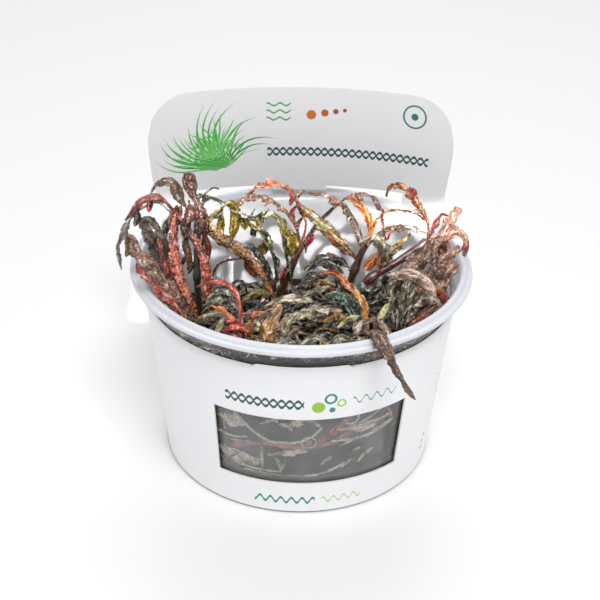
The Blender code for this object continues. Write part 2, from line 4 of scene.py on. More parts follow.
import bpy
import numpy as np
from mathutils import Matrix, Vector
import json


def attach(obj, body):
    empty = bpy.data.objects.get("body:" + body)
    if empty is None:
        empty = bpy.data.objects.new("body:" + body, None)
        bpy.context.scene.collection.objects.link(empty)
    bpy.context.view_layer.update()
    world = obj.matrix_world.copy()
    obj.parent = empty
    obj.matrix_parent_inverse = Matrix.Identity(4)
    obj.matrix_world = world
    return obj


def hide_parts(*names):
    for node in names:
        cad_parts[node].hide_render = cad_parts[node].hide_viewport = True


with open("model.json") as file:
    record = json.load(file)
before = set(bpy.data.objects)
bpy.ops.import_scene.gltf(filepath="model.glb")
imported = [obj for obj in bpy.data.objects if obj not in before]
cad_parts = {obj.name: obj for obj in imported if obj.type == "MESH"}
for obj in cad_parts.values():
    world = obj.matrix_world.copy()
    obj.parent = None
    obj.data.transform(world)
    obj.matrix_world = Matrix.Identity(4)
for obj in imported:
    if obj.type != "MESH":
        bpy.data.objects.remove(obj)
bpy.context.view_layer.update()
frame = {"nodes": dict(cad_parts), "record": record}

# Lengths in this script are millimetres and are turned to metres where a mesh is made. The origin is the
# centre of the cup's base, +Z is up and the window faces -Y.
MM = 0.001
BODY = "root"
TURN = 2.0 * math.pi

# The camera, as fitted to the photograph
CAMERA_PLACE = (-0.149, -357.739, 262.511)
CAMERA_ELEVATION = 30.957
CAMERA_ROLL = 1.395
CAMERA_LENS = 84.0
CAMERA_SENSOR = 36.0
CAMERA_CLIP = (0.01, 20.0)

# The lights, in metres and watts: place, aim, size, power and spread in degrees
LIGHTS = {
    "front_box": ((0.1, -0.47, 0.88), (0.0, 0.0, 0.05), (0.4, 0.3), 4.7, 180.0),
    "back_box": ((0.0, 0.6, 0.8), (0.0, 0.0, 0.05), (0.6, 0.35), 2.0, 180.0),
    "inside_strip": ((0.0, -0.2, 0.295), (-0.004, 0.045, 0.0365), (0.11, 0.02), 0.017, 1.15),
}
SURROUND_COLOUR = (0.98, 0.985, 1.0, 1.0)
SURROUND_STRENGTH = 0.53
FLOOR_REACH = 4.0
FLOOR_DROP = 0.1

# Sizes of the cup and the card, as in the solids
RIM_RADIUS = 50.0
CUP_HEIGHT = 62.3
BASE_OUTER_RADIUS = 39.55
BASE_RECESS = 0.5
WALL_SLOPE = 0.103
WALL = 1.0
FLOOR = 1.0
NECK_OUTER_RADIUS = 46.7
LIP_INNER_RADIUS = 45.8
SEAT_DROP = 3.2
BEAD_RADIUS = 0.62
GAP = 0.3
CARD = 0.5
SLEEVE_BOTTOM = 0.6
SLEEVE_TOP = 53.5
WINDOW_BOTTOM = 11.5
WINDOW_TOP = 35.8
WINDOW_HALF_ANGLE = 38.0
WINDOW_OFFSET_ANGLE = 4.1
CARD_TURN = 1.5
SIDE_BULGE_FOOT = 26.0
SIDE_BULGE_BACK = 12.0
SIDE_BULGE_FRONT = 78.0
HEADER_FOOT = 58.9
HEADER_TOP = 96.3
HEADER_CORNER = 13.0
HEADER_HALF_WIDTH = 48.3
HEADER_WAIST = 0.94
HEADER_CURVE_RADIUS = 110.0
HEADER_BACK = 43.6
HEADER_LEAN = 0.105
SLOT_HALF_WIDTH = 34.5
SLOT_TOP = 64.4
TONGUE_HALF_WIDTH = 8.8
TONGUE_BOTTOM = 62.9
MEDIUM_TOP = 12.4
BED_CENTRE = 47.0
BED_RADIUS = 40.5

# How finely the meshes are made
CUP_SIDES = 192
CARD_STEP = 1.4
STATION_STEP = 0.42
HALF_COLUMNS = 5
SMALL_STEP = 0.62
SMALL_COLUMNS = 3
TUBE_STEP = 0.6
FRAME_STATIONS = 13
CURVE_STEPS = 16
WALL_LEVELS = 26
STEM_SIDES = 16
THREAD_SIDES = 8
CORE_SIDES = 72

# The texture maps: blade runs along and across a part, and grain is in millimetres. The lower faces of
# leaves lie further across in the blade map, by LOWER_SHIFT.
BLADE_MAP = "blade"
GRAIN_MAP = "grain"
LOWER_SHIFT = 4.0
NOISE_ROUGHNESS = 0.55
CUP_MAP_LENGTH = 280.0
TUBE_MAP_TURN = 6.283

# Where the random seeds of each group of parts start, and the seeds of the places that are drawn
LEAF_SEED = 1
SIDE_PART_SEED = 101
STEM_SEED = 201
SHOOT_SEED = 300
WINDOW_SEED = 401
PRESSED_SEED = 600
TANGLE_SEED = 5
PRESSED_PLACE_SEED = 9
CORE_SEED = 77
SHOOT_DRAW_SEED = 1000


def linear(code):
    """A colour written as six hex digits, as the linear values that a shader uses."""
    shares = [int(code[start:start + 2], 16) / 255.0 for start in (0, 2, 4)]
    return tuple(c / 12.92 if c <= 0.04045 else ((c + 0.055) / 1.055) ** 2.4 for c in shares) + (1.0,)


def unit(vector):
    return vector / max(np.linalg.norm(vector), 1e-9)


def units(rows):
    return rows / np.maximum(np.linalg.norm(rows, axis=1, keepdims=True), 1e-9)


def ease(value, start, end):
    """A smooth step from 0 at start to 1 at end."""
    t = min(max((value - start) / (end - start), 0.0), 1.0)
    return t * t * (3.0 - 2.0 * t)


def place_object(name, data):
    """A new object in the scene."""
    thing = bpy.data.objects.new(name, data)
    bpy.context.scene.collection.objects.link(thing)
    return thing


class Paint:
    """One node material, with short calls for the nodes that it is made of."""

    def __init__(self, name, **values):
        self.material = bpy.data.materials.new(name)
        self.material.use_nodes = True
        self.tree = self.material.node_tree
        self.main = self.tree.nodes["Principled BSDF"]
        for socket, value in values.items():
            self.set(socket.replace("_", " "), value)

    def feed(self, socket, value):
        """Links a socket to another, or sets its value."""
        if isinstance(value, bpy.types.NodeSocket):
            self.tree.links.new(value, socket)
        else:
            socket.default_value = value

    def set(self, socket, value):
        self.feed(self.main.inputs[socket], value)

    def node(self, kind, output, inputs=(), **settings):
        """Adds a node with its settings and inputs, and gives one of its outputs."""
        node = self.tree.nodes.new("ShaderNode" + kind)
        for setting, value in settings.items():
            setattr(node, setting, value)
        for socket, value in dict(inputs).items():
            self.feed(node.inputs[socket], value)
        return node.outputs[output]

    def math(self, operation, *values):
        return self.node("Math", 0, enumerate(values), operation=operation)

    def times(self, first, second):
        return self.math("MULTIPLY", first, second)

    def minus(self, first, second):
        return self.math("SUBTRACT", first, second)

    def times_plus(self, first, second, third):
        """The first value times the second, plus the third."""
        return self.math("MULTIPLY_ADD", first, second, third)

    def apart(self, first, second):
        """How far two values are apart."""
        return self.math("ABSOLUTE", self.minus(first, second))

    def sine(self, value, pace):
        return self.math("SINE", self.times(value, pace))

    def step(self, value, low, high):
        """A smooth step from 0 at low to 1 at high. High may be the lower one."""
        falling = high < low
        ends = {"From Min": min(low, high), "From Max": max(low, high),
                "To Min": float(falling), "To Max": float(not falling)}
        return self.node("MapRange", "Result", {"Value": value, **ends}, interpolation_type="SMOOTHSTEP")

    def mix(self, share, first, second):
        """A colour between two, by share."""
        return self.node("Mix", 2, {0: share, 6: first, 7: second}, data_type="RGBA")

    def ramp(self, share, codes, change=linear):
        """A colour that runs through evenly spaced ones as share goes from 0 to 1."""
        output = self.node("ValToRGB", "Color", {"Fac": share})
        elements = output.node.color_ramp.elements
        while len(elements) < len(codes):
            elements.new(0.5)
        for index, code in enumerate(codes):
            elements[index].position = index / (len(codes) - 1)
            elements[index].color = change(code)
        return output

    def uv(self, name):
        return self.node("UVMap", "UV", uv_map=name)

    def object_place(self):
        return self.node("TexCoord", "Object")

    def place_mm(self):
        """The place on the object in millimetres."""
        inputs = {0: self.object_place(), 1: (1.0 / MM,) * 3}
        return self.node("VectorMath", 0, inputs, operation="MULTIPLY")

    def split(self, vector):
        return self.node("SeparateXYZ", 0, {0: vector}).node.outputs[:]

    def join(self, x, y):
        return self.node("CombineXYZ", 0, {0: x, 1: y})

    def noise(self, vector, scale, detail=3.0):
        inputs = {"Vector": vector, "Scale": scale, "Detail": detail, "Roughness": NOISE_ROUGHNESS}
        return self.node("TexNoise", 0, inputs)

    def cells(self, vector, scale):
        return self.node("TexVoronoi", "Distance", {"Vector": vector, "Scale": scale})

    def chance(self, value):
        """A value from 0 to 1 that looks random, for each whole number."""
        return self.node("TexWhiteNoise", "Value", {"W": value}, noise_dimensions="1D")

    def bump(self, height, strength, distance):
        inputs = {"Height": height, "Strength": strength, "Distance": distance * MM}
        self.set("Normal", self.node("Bump", "Normal", inputs))


class Build:
    """The mesh of one piece under construction: points, faces, texture places and finishes."""

    def __init__(self):
        self.points = []
        self.faces = []
        self.first = []
        self.second = []
        self.finish = []
        self.materials = []

    def add(self, points, faces, first, second, material):
        """Adds points and faces or, with no points, faces on those that are there. First and second are the
        places of each face corner in the two texture maps."""
        start = len(self.points) if len(points) else 0
        self.points.extend(points)
        self.faces.extend(tuple(start + corner for corner in face) for face in faces)
        self.first.extend(first)
        self.second.extend(second)
        if material not in self.materials:
            self.materials.append(material)
        self.finish.extend([self.materials.index(material)] * len(faces))

    def piece(self, name, slot, *replaced, sharp=None):
        """Makes the object, gives it its maps and finishes, and hides the solids that it replaces."""
        mesh = bpy.data.meshes.new(name)
        mesh.from_pydata([tuple(float(c) * MM for c in p) for p in self.points], [], self.faces)
        for map_name, places in ((BLADE_MAP, self.first), (GRAIN_MAP, self.second)):
            layer = mesh.uv_layers.new(name=map_name)
            layer.data.foreach_set("uv", np.array(places, dtype=np.float32).ravel())
        for material in self.materials:
            mesh.materials.append(material)
        mesh.polygons.foreach_set("material_index", self.finish)
        mesh.shade_smooth()
        if sharp:
            mesh.set_sharp_from_angle(angle=math.radians(sharp))
        mesh.validate()
        piece = place_object(name, mesh)
        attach(piece, BODY)
        if replaced:
            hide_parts(*replaced)


# The stage


def make_camera():
    elevation = math.radians(CAMERA_ELEVATION)
    roll = math.radians(CAMERA_ROLL)
    forward = Vector((0.0, math.cos(elevation), -math.sin(elevation)))
    level_up = Vector((0.0, math.sin(elevation), math.cos(elevation)))
    level_right = Vector((1.0, 0.0, 0.0))
    right = level_right * math.cos(roll) + level_up * math.sin(roll)
    up = level_up * math.cos(roll) - level_right * math.sin(roll)
    data = bpy.data.cameras.new("camera")
    data.lens = CAMERA_LENS
    data.sensor_width = CAMERA_SENSOR
    data.clip_start, data.clip_end = CAMERA_CLIP
    camera = place_object("camera", data)
    turn = Matrix((right, up, -forward)).transposed().to_4x4()
    camera.matrix_world = Matrix.Translation(Vector(CAMERA_PLACE) * MM) @ turn
    bpy.context.scene.camera = camera


def make_lights():
    """Soft boxes in front and behind, and a narrow strip aimed down into the cup at its back wall."""
    for name, (place, aim, size, power, spread) in LIGHTS.items():
        data = bpy.data.lights.new(name, "AREA")
        data.shape = "RECTANGLE"
        data.size, data.size_y = size
        data.energy = power
        data.spread = math.radians(spread)
        light = place_object(name, data)
        light.location = place
        light.rotation_euler = (Vector(aim) - Vector(place)).to_track_quat("-Z", "Y").to_euler()


def make_stage():
    """An even white surround, the lights and a pale floor."""
    scene = bpy.context.scene
    scene.world = bpy.data.worlds.new("studio")
    scene.world.use_nodes = True
    background = scene.world.node_tree.nodes["Background"]
    background.inputs["Color"].default_value = SURROUND_COLOUR
    background.inputs["Strength"].default_value = SURROUND_STRENGTH
    make_lights()
    scene.view_settings.view_transform = "Standard"
    scene.view_settings.look = "None"
    mesh = bpy.data.meshes.new("floor")
    corners = [(x * FLOOR_REACH, y * FLOOR_REACH, 0.0) for x, y in ((-1, -1), (1, -1), (1, 1), (-1, 1))]
    mesh.from_pydata(corners, [], [(0, 1, 2, 3)])
    floor = place_object("floor", mesh)
    floor.location.z = -FLOOR_DROP * MM
    paint = Paint("studio_floor", Roughness=0.55)
    tone = paint.noise(paint.object_place(), 3.0)
    paint.set("Base Color", paint.mix(tone, linear("fafafa"), linear("fcfcfc")))
    mesh.materials.append(paint.material)


# The cup


def outer_wall(height):
    return BASE_OUTER_RADIUS + WALL_SLOPE * height


def inner_wall(height):
    return outer_wall(height) - WALL


def arc(centre, radius, start, end, count):
    """Profile points along an arc, with angles in degrees from outward, positive upward."""
    angles = np.radians(np.linspace(start, end, count))
    return [(centre[0] + radius * math.cos(a), centre[1] + radius * math.sin(a)) for a in angles]


def cup_profile():
    """The cup's section from the middle of its base, up the outside, over the rim and down the inside.
    Each part is a list of (radius, height) points."""
    top = CUP_HEIGHT
    seat = top - SEAT_DROP
    outside = [(0.0, BASE_RECESS), (BASE_OUTER_RADIUS - 3.0, BASE_RECESS), (BASE_OUTER_RADIUS - 2.2, 0.0)]
    outside += arc((BASE_OUTER_RADIUS - 0.8, 0.8), 0.8, -90.0, 0.0, 6)
    outside += [(outer_wall(h), h) for h in np.linspace(2.5, seat - 2.0, WALL_LEVELS)]
    outside += [(outer_wall(seat) + 0.25, seat - 1.2), (NECK_OUTER_RADIUS - 0.3, seat - 0.3),
                (NECK_OUTER_RADIUS, seat + 0.1)]
    rim = [(NECK_OUTER_RADIUS + 0.2, top - 1.5), (RIM_RADIUS - 1.4, top - 1.55)]
    rim += arc((RIM_RADIUS - BEAD_RADIUS, top - 2.4 + BEAD_RADIUS), BEAD_RADIUS, -150.0, 95.0, 14)
    rim += [(RIM_RADIUS - 1.1, top - 1.12), (RIM_RADIUS - 1.6, top - 0.95)]
    rim += arc((47.35, top - 0.95), 0.95, 20.0, 160.0, 12)
    rim += [(LIP_INNER_RADIUS + 0.35, top - 1.0), (LIP_INNER_RADIUS, top - 2.0)]
    inside = [(LIP_INNER_RADIUS - 0.05, seat + 0.3), (LIP_INNER_RADIUS - 0.5, seat - 0.2)]
    inside += [(inner_wall(h), h) for h in np.linspace(seat - 1.0, 3.0, WALL_LEVELS)]
    inside += arc((inner_wall(FLOOR) - 1.2, FLOOR + 1.2), 1.2, 0.0, -90.0, 5)
    inside += [(0.0, FLOOR)]
    return outside, rim, inside


def wall_material():
    """Clear plastic with a faint haze, milkier at the back, and a cloudy patch behind the window."""
    paint = Paint("clear_wall", Roughness=0.06, IOR=1.45)
    place = paint.place_mm()
    x, y, z = paint.split(place)
    patch = paint.step(y, 0.0, -20.0)
    for value, low, high in ((x, -21.2, -20.4), (x, 24.9, 24.1), (z, 10.6, 11.4), (z, 36.6, 35.8)):
        patch = paint.times(patch, paint.step(value, low, high))
    cloud = paint.noise(place, 0.12, detail=2.0)
    milk = paint.times(paint.step(y, -34.0, 10.0), 0.42)
    milk = paint.times_plus(cloud, 0.02, milk)
    milk = paint.times_plus(patch, paint.times_plus(cloud, 0.1, 0.02), milk)
    paint.set("Transmission Weight", paint.minus(1.0, milk))
    paint.set("Base Color", (0.97, 0.975, 0.985, 1.0))
    paint.bump(paint.noise(place, 0.35, detail=2.0), 0.06, 0.4)
    return paint.material


def rim_material():
    """The thicker flange: milky, bluish white plastic with fine turning marks."""
    paint = Paint("milky_rim", Roughness=0.22, IOR=1.46, Transmission_Weight=0.2)
    place = paint.place_mm()
    paint.set("Base Color", paint.mix(paint.noise(place, 0.09), linear("e8ebf3"), linear("f6f8fc")))
    paint.bump(paint.noise(place, 0.8), 0.06, 0.3)
    return paint.material


def ring_points(reach, height, angles):
    """A ring of points around the axis, at one distance from it or at one for each angle."""
    reaches = np.broadcast_to(reach, len(angles))
    return [(r * math.cos(a), r * math.sin(a), height) for r, a in zip(reaches, angles)]


def make_cup():
    outside, rim, inside = cup_profile()
    profile = outside + rim + inside
    angles = np.linspace(0.0, TURN, CUP_SIDES, endpoint=False)
    points = []
    rings = []
    for radius, height in profile:
        count = CUP_SIDES if radius else 1
        rings.append([len(points) + side % count for side in range(CUP_SIDES + 1)])
        points += ring_points(radius, height, angles[:count])
    run = np.concatenate([[0.0], np.cumsum(np.hypot(*np.diff(np.array(profile), axis=0).T))])
    first_rim = len(outside) - 1
    last_rim = first_rim + len(rim)
    build = Build()
    for material, wanted in ((wall_material(), False), (rim_material(), True)):
        faces = []
        places = []
        for level in range(len(profile) - 1):
            if (first_rim <= level < last_rim) != wanted:
                continue
            for side in range(CUP_SIDES):
                corners = {}
                for up, step in ((0, 0), (0, 1), (1, 1), (1, 0)):
                    place = ((side + step) / CUP_SIDES * CUP_MAP_LENGTH, run[level + up])
                    corners[rings[level + up][side + step]] = place
                faces.append(tuple(corners))
                places += corners.values()
        build.add(points, faces, places, places, material)
        points = []
    build.piece("cup_wall_and_rim", "cup_plastic", "cup", sharp=50.0)


# The card sleeve


def card_point(along, height):
    """A point of the card's inner face: the arc length from the card's back centre, and the height."""
    radius = outer_wall(height) + GAP
    angle = along / (outer_wall(SLEEVE_TOP) + GAP)
    round_x = radius * math.sin(angle)
    round_y = radius * math.cos(angle)
    waist = HEADER_WAIST + (1.0 - HEADER_WAIST) * ease(height, SLEEVE_TOP, HEADER_TOP - HEADER_CORNER)
    turn = along * waist / HEADER_CURVE_RADIUS
    flat_x = HEADER_CURVE_RADIUS * math.sin(turn)
    flat_y = HEADER_BACK + HEADER_LEAN * (height - CUP_HEIGHT)
    flat_y -= HEADER_CURVE_RADIUS * (1.0 - math.cos(turn))
    side = abs(along)
    share = ease(height, SIDE_BULGE_FOOT, HEADER_FOOT)
    if height <= SLEEVE_TOP:
        share *= ease(side, SIDE_BULGE_BACK, SLOT_HALF_WIDTH)
        share *= 1.0 - ease(side, HEADER_HALF_WIDTH, SIDE_BULGE_FRONT)
    return np.array((round_x + (flat_x - round_x) * share, round_y + (flat_y - round_y) * share, height))


def header_top(along):
    """The header's upper edge: level, with a round corner at each side."""
    past = max(abs(along) - (HEADER_HALF_WIDTH - HEADER_CORNER), 0.0)
    drop = HEADER_CORNER - math.sqrt(max(HEADER_CORNER ** 2 - past ** 2, 0.0))
    return HEADER_TOP - drop


def subdivided(knots, step):
    """The knots, with evenly spaced values between them no further apart than step."""
    values = [knots[0]]
    for low, high in zip(knots, knots[1:]):
        count = max(int(math.ceil((high - low) / step)), 1)
        values += list(np.linspace(low, high, count + 1)[1:])
    return values


class CardPaint(Paint):
    """White coated card, with calls that print marks on it. A place on it is u along the card and v up."""

    def __init__(self, name, **values):
        super().__init__(name, **values)
        place = self.uv(GRAIN_MAP)
        self.u, self.v, _ = self.split(place)
        tone = self.noise(place, 0.15, detail=2.0)
        self.bump(self.noise(place, 2.5, detail=4.0), 0.05, 0.2)
        self.colour = self.mix(tone, linear("f6f6f8"), linear("fcfcfd"))

    def mark(self, mask, tint):
        self.colour = self.mix(mask, self.colour, linear(tint))

    def within(self, value, low, high):
        edge = 0.12
        above_low = self.step(value, low - edge, low + edge)
        return self.times(above_low, self.step(value, high + edge, high - edge))

    def wave(self, tint, span, level, swing, length, thickness, phase=0.0, upright=False):
        """A wavy line across a span, at a level."""
        along, above = (self.v, self.u) if upright else (self.u, self.v)
        angle = self.times_plus(along, TURN / length, phase)
        line = self.times_plus(self.math("SINE", angle), swing, level)
        stroke = self.step(self.apart(above, line), thickness / 2.0 + 0.1, thickness / 2.0 - 0.1)
        self.mark(self.times(stroke, self.within(along, *span)), tint)

    def from_centre(self, centre):
        """How far a place is to the side of a centre, above it, and away from it."""
        across = self.minus(self.u, centre[0])
        above = self.minus(self.v, centre[1])
        squares = self.math("ADD", self.times(across, across), self.times(above, above))
        return across, above, self.math("SQRT", squares)

    def disc(self, tint, centre, radius, stroke=None):
        """A disc, or a ring if it has a stroke."""
        away = self.from_centre(centre)[2]
        if stroke:
            away = self.apart(away, radius)
            radius = stroke / 2.0
        self.mark(self.step(away, radius + 0.1, radius - 0.1), tint)

    def grass(self, tint, foot, reach, spread, blades, seed):
        """A fan of grass blades that rise from a foot, each with its own length."""
        across, above, away = self.from_centre(foot)
        sway = self.times(self.sine(away, 0.16), 0.22)
        angle = self.math("ADD", self.math("ARCTAN2", across, self.math("ADD", above, 0.6)), sway)
        phase = self.times_plus(angle, blades / (2.0 * spread), blades / 2.0 + seed)
        cell = self.math("FLOOR", phase)
        length = self.times_plus(self.chance(self.math("ADD", cell, seed * 3.7)), 0.5, 0.5)
        share = self.math("DIVIDE", away, self.times(length, reach))
        width = self.times(self.minus(1.0, share), 0.42)
        blade = self.step(self.minus(self.apart(self.math("FRACT", phase), 0.5), width), 0.05, -0.05)
        fan = self.step(self.math("ABSOLUTE", angle), spread + 0.02, spread - 0.02)
        self.mark(self.times(blade, fan), tint)

    def rows(self, tint):
        """Rows of short waves, in an area behind the cup."""
        pitch = 3.3
        row = self.math("FLOOR", self.math("DIVIDE", self.v, pitch))
        level = self.times(self.math("FRACT", self.math("DIVIDE", self.v, pitch)), pitch)
        dash = self.math("FLOOR", self.times_plus(self.noise(self.join(self.u, row), 0.45), 3.0,
                                                  self.times(self.u, 0.42)))
        worth = self.step(self.chance(self.times_plus(row, 17.0, dash)), 0.35, 0.36)
        swing = self.times_plus(self.sine(self.u, 4.6), 0.42, 1.3)
        stroke = self.step(self.apart(level, swing), 0.42, 0.22)
        area = self.times(self.within(self.u, -29.0, 20.0), self.within(self.v, 28.5, 49.5))
        self.mark(self.times(self.times(stroke, worth), area), tint)

    def done(self):
        self.set("Base Color", self.colour)
        return self.material


def outside_card():
    """The card's outside, with a plain pattern of waves and bubbles above and below the window."""
    card = CardPaint("card_outside", Roughness=0.42, Coat_Weight=0.15, Coat_Roughness=0.3)
    dark = "27545a"
    teal = "2f8f7c"
    light = "9ccb45"
    for phase in (0.0, math.pi):
        card.wave(dark, (-22.5, 0.5), 41.2, 1.25, 4.6, 1.0, phase)
    card.wave(teal, (14.5, 28.5), 41.4, 1.1, 3.5, 0.5)
    card.disc(light, (4.6, 40.2), 1.9)
    card.disc(teal, (8.0, 43.0), 1.5, 0.7)
    card.disc(teal, (8.6, 39.0), 0.9)
    card.disc(light, (11.2, 41.2), 1.1, 0.5)
    card.wave(teal, (-14.6, 5.0), 5.0, 0.95, 3.4, 1.0)
    card.wave(light, (7.0, 20.5), 5.0, 0.95, 3.4, 0.5)
    card.wave(teal, (25.5, 33.0), 55.0, 0.7, 5.0, 0.5, upright=True)
    for level in (8.2, 10.4, 12.6):
        card.disc(dark, (50.2 + 0.3 * (level - 10.4), level), 0.55)
    return card.done()


def inside_card():
    """The card's inside: the header's pattern of grass, waves and rings, and green rows behind the cup."""
    card = CardPaint("card_inside", Roughness=0.45, Coat_Weight=0.12, Coat_Roughness=0.3)
    tufts = (("3fa843", (-27.5, 70.8), 22.0, 1.3, 19.0), ("5cc856", (-31.0, 71.2), 16.0, 1.2, 13.0),
             ("4cb848", (-24.5, 71.4), 16.0, 1.2, 13.0), ("8ade7c", (-28.4, 75.0), 13.0, 1.5, 15.0),
             ("6ad062", (-26.4, 78.5), 11.0, 1.5, 13.0))
    for index, tuft in enumerate(tufts):
        card.grass(*tuft, index * 1.3 + 0.4)
    for phase in (0.0, math.pi):
        card.wave("2b5558", (-10.5, 41.0), 75.6, 1.05, 4.4, 0.85, phase)
    for level in (86.3, 88.6, 90.9):
        card.wave("4fae66", (-10.8, -3.2), level, 0.45, 3.8, 0.55)
    card.disc("d9772b", (3.2, 87.6), 1.5)
    card.disc("c9652a", (7.4, 88.3), 1.15)
    card.disc("a8542a", (10.8, 88.9), 0.85)
    card.disc("8a4a2c", (13.6, 89.4), 0.6)
    card.disc("2f7f72", (35.6, 89.6), 3.5, 0.55)
    card.disc("2f7f72", (35.6, 89.6), 1.1)
    card.rows("2f9468")
    return card.done()


def card_edge():
    paint = Paint("card_edge", Roughness=0.8)
    tone = paint.noise(paint.uv(GRAIN_MAP), 1.5)
    paint.set("Base Color", paint.mix(tone, linear("dedddb"), linear("f1f0ee")))
    return paint.material


def make_sleeve():
    """One card: a band around the cup with a window in front, and a header that stands up behind the rim.
    Columns of the flat card count from the header's left side, once around."""
    half_turn = math.pi * (outer_wall(SLEEVE_TOP) + GAP)
    degree = half_turn / 180.0
    window_start = half_turn - (WINDOW_HALF_ANGLE + WINDOW_OFFSET_ANGLE) * degree
    window_end = half_turn + (WINDOW_HALF_ANGLE - WINDOW_OFFSET_ANGLE) * degree
    round_end = 2.0 * half_turn - HEADER_HALF_WIDTH
    columns = subdivided((-HEADER_HALF_WIDTH, -SLOT_HALF_WIDTH, -TONGUE_HALF_WIDTH, TONGUE_HALF_WIDTH,
                          SLOT_HALF_WIDTH, HEADER_HALF_WIDTH, window_start, window_end, round_end),
                         CARD_STEP)
    rows = subdivided((SLEEVE_BOTTOM, WINDOW_BOTTOM, WINDOW_TOP, SLEEVE_TOP, TONGUE_BOTTOM, SLOT_TOP,
                       HEADER_TOP),
                      CARD_STEP)
    count = len(columns) - 1
    turn = math.radians(CARD_TURN)
    spin = np.array(((math.cos(turn), -math.sin(turn), 0.0), (math.sin(turn), math.cos(turn), 0.0),
                     (0.0, 0.0, 1.0)))

    def wrapped(along, height):
        """The point at a length along the card that may lie past the front's middle."""
        return card_point(along - 2.0 * half_turn if along > half_turn else along, height)

    def level(along, height):
        """The height on the card, pressed down at the header's round corners."""
        if height <= SLOT_TOP:
            return height
        share = (height - SLOT_TOP) / (HEADER_TOP - SLOT_TOP)
        return SLOT_TOP + (header_top(along) - SLOT_TOP) * share

    def place(along, height):
        return wrapped(along, level(along, height))

    def outward(along, height):
        """The card's outward direction, from small steps along and up."""
        small = 0.05
        edge = HEADER_HALF_WIDTH - 0.001
        inside = min(max(along, -edge), edge) if height > SLEEVE_TOP else along
        ahead = place(inside + small, height) - place(inside - small, height)
        low = min(height, HEADER_TOP - 1.0)
        above = wrapped(inside, low + small) - wrapped(inside, low - small)
        return unit(np.cross(above, ahead))

    def is_cut(column, row):
        middle = (columns[column] + columns[column + 1]) / 2.0
        centre = (rows[row] + rows[row + 1]) / 2.0
        if centre < SLEEVE_TOP:
            return WINDOW_BOTTOM < centre < WINDOW_TOP and window_start < middle < window_end
        if middle > HEADER_HALF_WIDTH:
            return True
        tongue = centre > TONGUE_BOTTOM and abs(middle) < TONGUE_HALF_WIDTH
        return centre < SLOT_TOP and abs(middle) < SLOT_HALF_WIDTH and not tongue

    points = []
    inner = {}
    outer = {}
    for offset, layer in ((0.0, inner), (CARD, outer)):
        for column, along in enumerate(columns[:-1]):
            for row, height in enumerate(rows):
                if height > SLEEVE_TOP and along > HEADER_HALF_WIDTH + 0.01:
                    continue
                layer[(column, row)] = len(points)
                points.append(spin @ (place(along, height) + outward(along, height) * offset))
    cells = {(c, r): None for c in range(count) for r in range(len(rows) - 1) if not is_cut(c, r)}
    outer_faces, inner_faces, edge_faces = [], [], []
    outer_places, inner_places, edge_places = [], [], []
    for column, row in cells:
        after = (column + 1) % count
        corners = [(column, row), (after, row), (after, row + 1), (column, row + 1)]
        start, end = columns[column], columns[column + 1]
        spans = [start, end, end, start]
        heights = [level(columns[c], rows[r]) for c, r in corners]
        outer_faces.append(tuple(outer[c] for c in reversed(corners)))
        outer_places += [(half_turn - a, h) for a, h in zip(reversed(spans), reversed(heights))]
        inner_faces.append(tuple(inner[c] for c in corners))
        past = 2.0 * half_turn if start >= half_turn else 0.0
        inner_places += [(a - past, h) for a, h in zip(spans, heights)]
        neighbours = ((column, row - 1), (after, row), (column, row + 1), ((column - 1) % count, row))
        for a, neighbour in enumerate(neighbours):
            if neighbour in cells:
                continue
            b = (a + 1) % 4
            edge_faces.append((outer[corners[a]], inner[corners[a]], inner[corners[b]], outer[corners[b]]))
            edge_places += [(spans[a], heights[a]), (spans[a] + CARD, heights[a]),
                            (spans[b] + CARD, heights[b]), (spans[b], heights[b])]
    build = Build()
    for faces, places, material in ((outer_faces, outer_places, outside_card()),
                                    (inner_faces, inner_places, inside_card()),
                                    (edge_faces, edge_places, card_edge())):
        build.add(points, faces, places, places, material)
        points = []
    build.piece("printed_sleeve", "sleeve_card", "sleeve", sharp=35.0)


# Leaves


def between(at, knots, values):
    """The points at some shares of a path, from those at its knots."""
    return np.stack([np.interp(at, knots, values[:, axis]) for axis in range(3)], axis=1)


def smooth_path(route, count):
    """Evenly spaced points on a Catmull-Rom curve through the route's points."""
    route = np.array(route, dtype=float)
    padded = np.vstack([2.0 * route[0] - route[1], route, 2.0 * route[-1] - route[-2]])
    fine = []
    for step in range(len(route) - 1):
        a, b, c, d = padded[step:step + 4]
        for t in np.linspace(0.0, 1.0, CURVE_STEPS, endpoint=False):
            fine.append(0.5 * (2.0 * b + (c - a) * t + (2.0 * a - 5.0 * b + 4.0 * c - d) * t ** 2
                               + (3.0 * b - a - 3.0 * c + d) * t ** 3))
    fine.append(route[-1])
    fine = np.array(fine)
    reach = np.concatenate([[0.0], np.cumsum(np.linalg.norm(np.diff(fine, axis=0), axis=1))])
    return between(np.linspace(0.0, reach[-1], count), reach, fine)


def stepped_path(route, trial, step, fewest, most):
    """A path whose points are about a step apart, and its length, as measured on some trial points."""
    rough = smooth_path(route, trial)
    length = float(np.sum(np.linalg.norm(np.diff(rough, axis=0), axis=1)))
    return smooth_path(route, int(min(max(length / step, fewest), most))), length


# Where a path runs almost along its face's direction, it keeps its side from the point before
FACE_ON = 0.35


def path_frames(path, face, turn):
    """For each point of the path, the direction across it and the direction that its face looks to."""
    across = None
    sides = []
    normals = []
    for step, tangent in enumerate(np.gradient(path, axis=0)):
        tangent = unit(tangent)
        side = np.cross(tangent, np.array(face))
        if np.linalg.norm(side) < FACE_ON and across is not None:
            side = across - tangent * np.dot(across, tangent)
        side = unit(side)
        if across is not None and np.dot(side, across) < 0.0:
            side = -side
        across = side
        normal = np.cross(side, tangent)
        angle = math.radians(turn[0] + (turn[1] - turn[0]) * step / (len(path) - 1))
        sides.append(side * math.cos(angle) + normal * math.sin(angle))
        normals.append(normal * math.cos(angle) - side * math.sin(angle))
    return np.array(sides), np.array(normals)


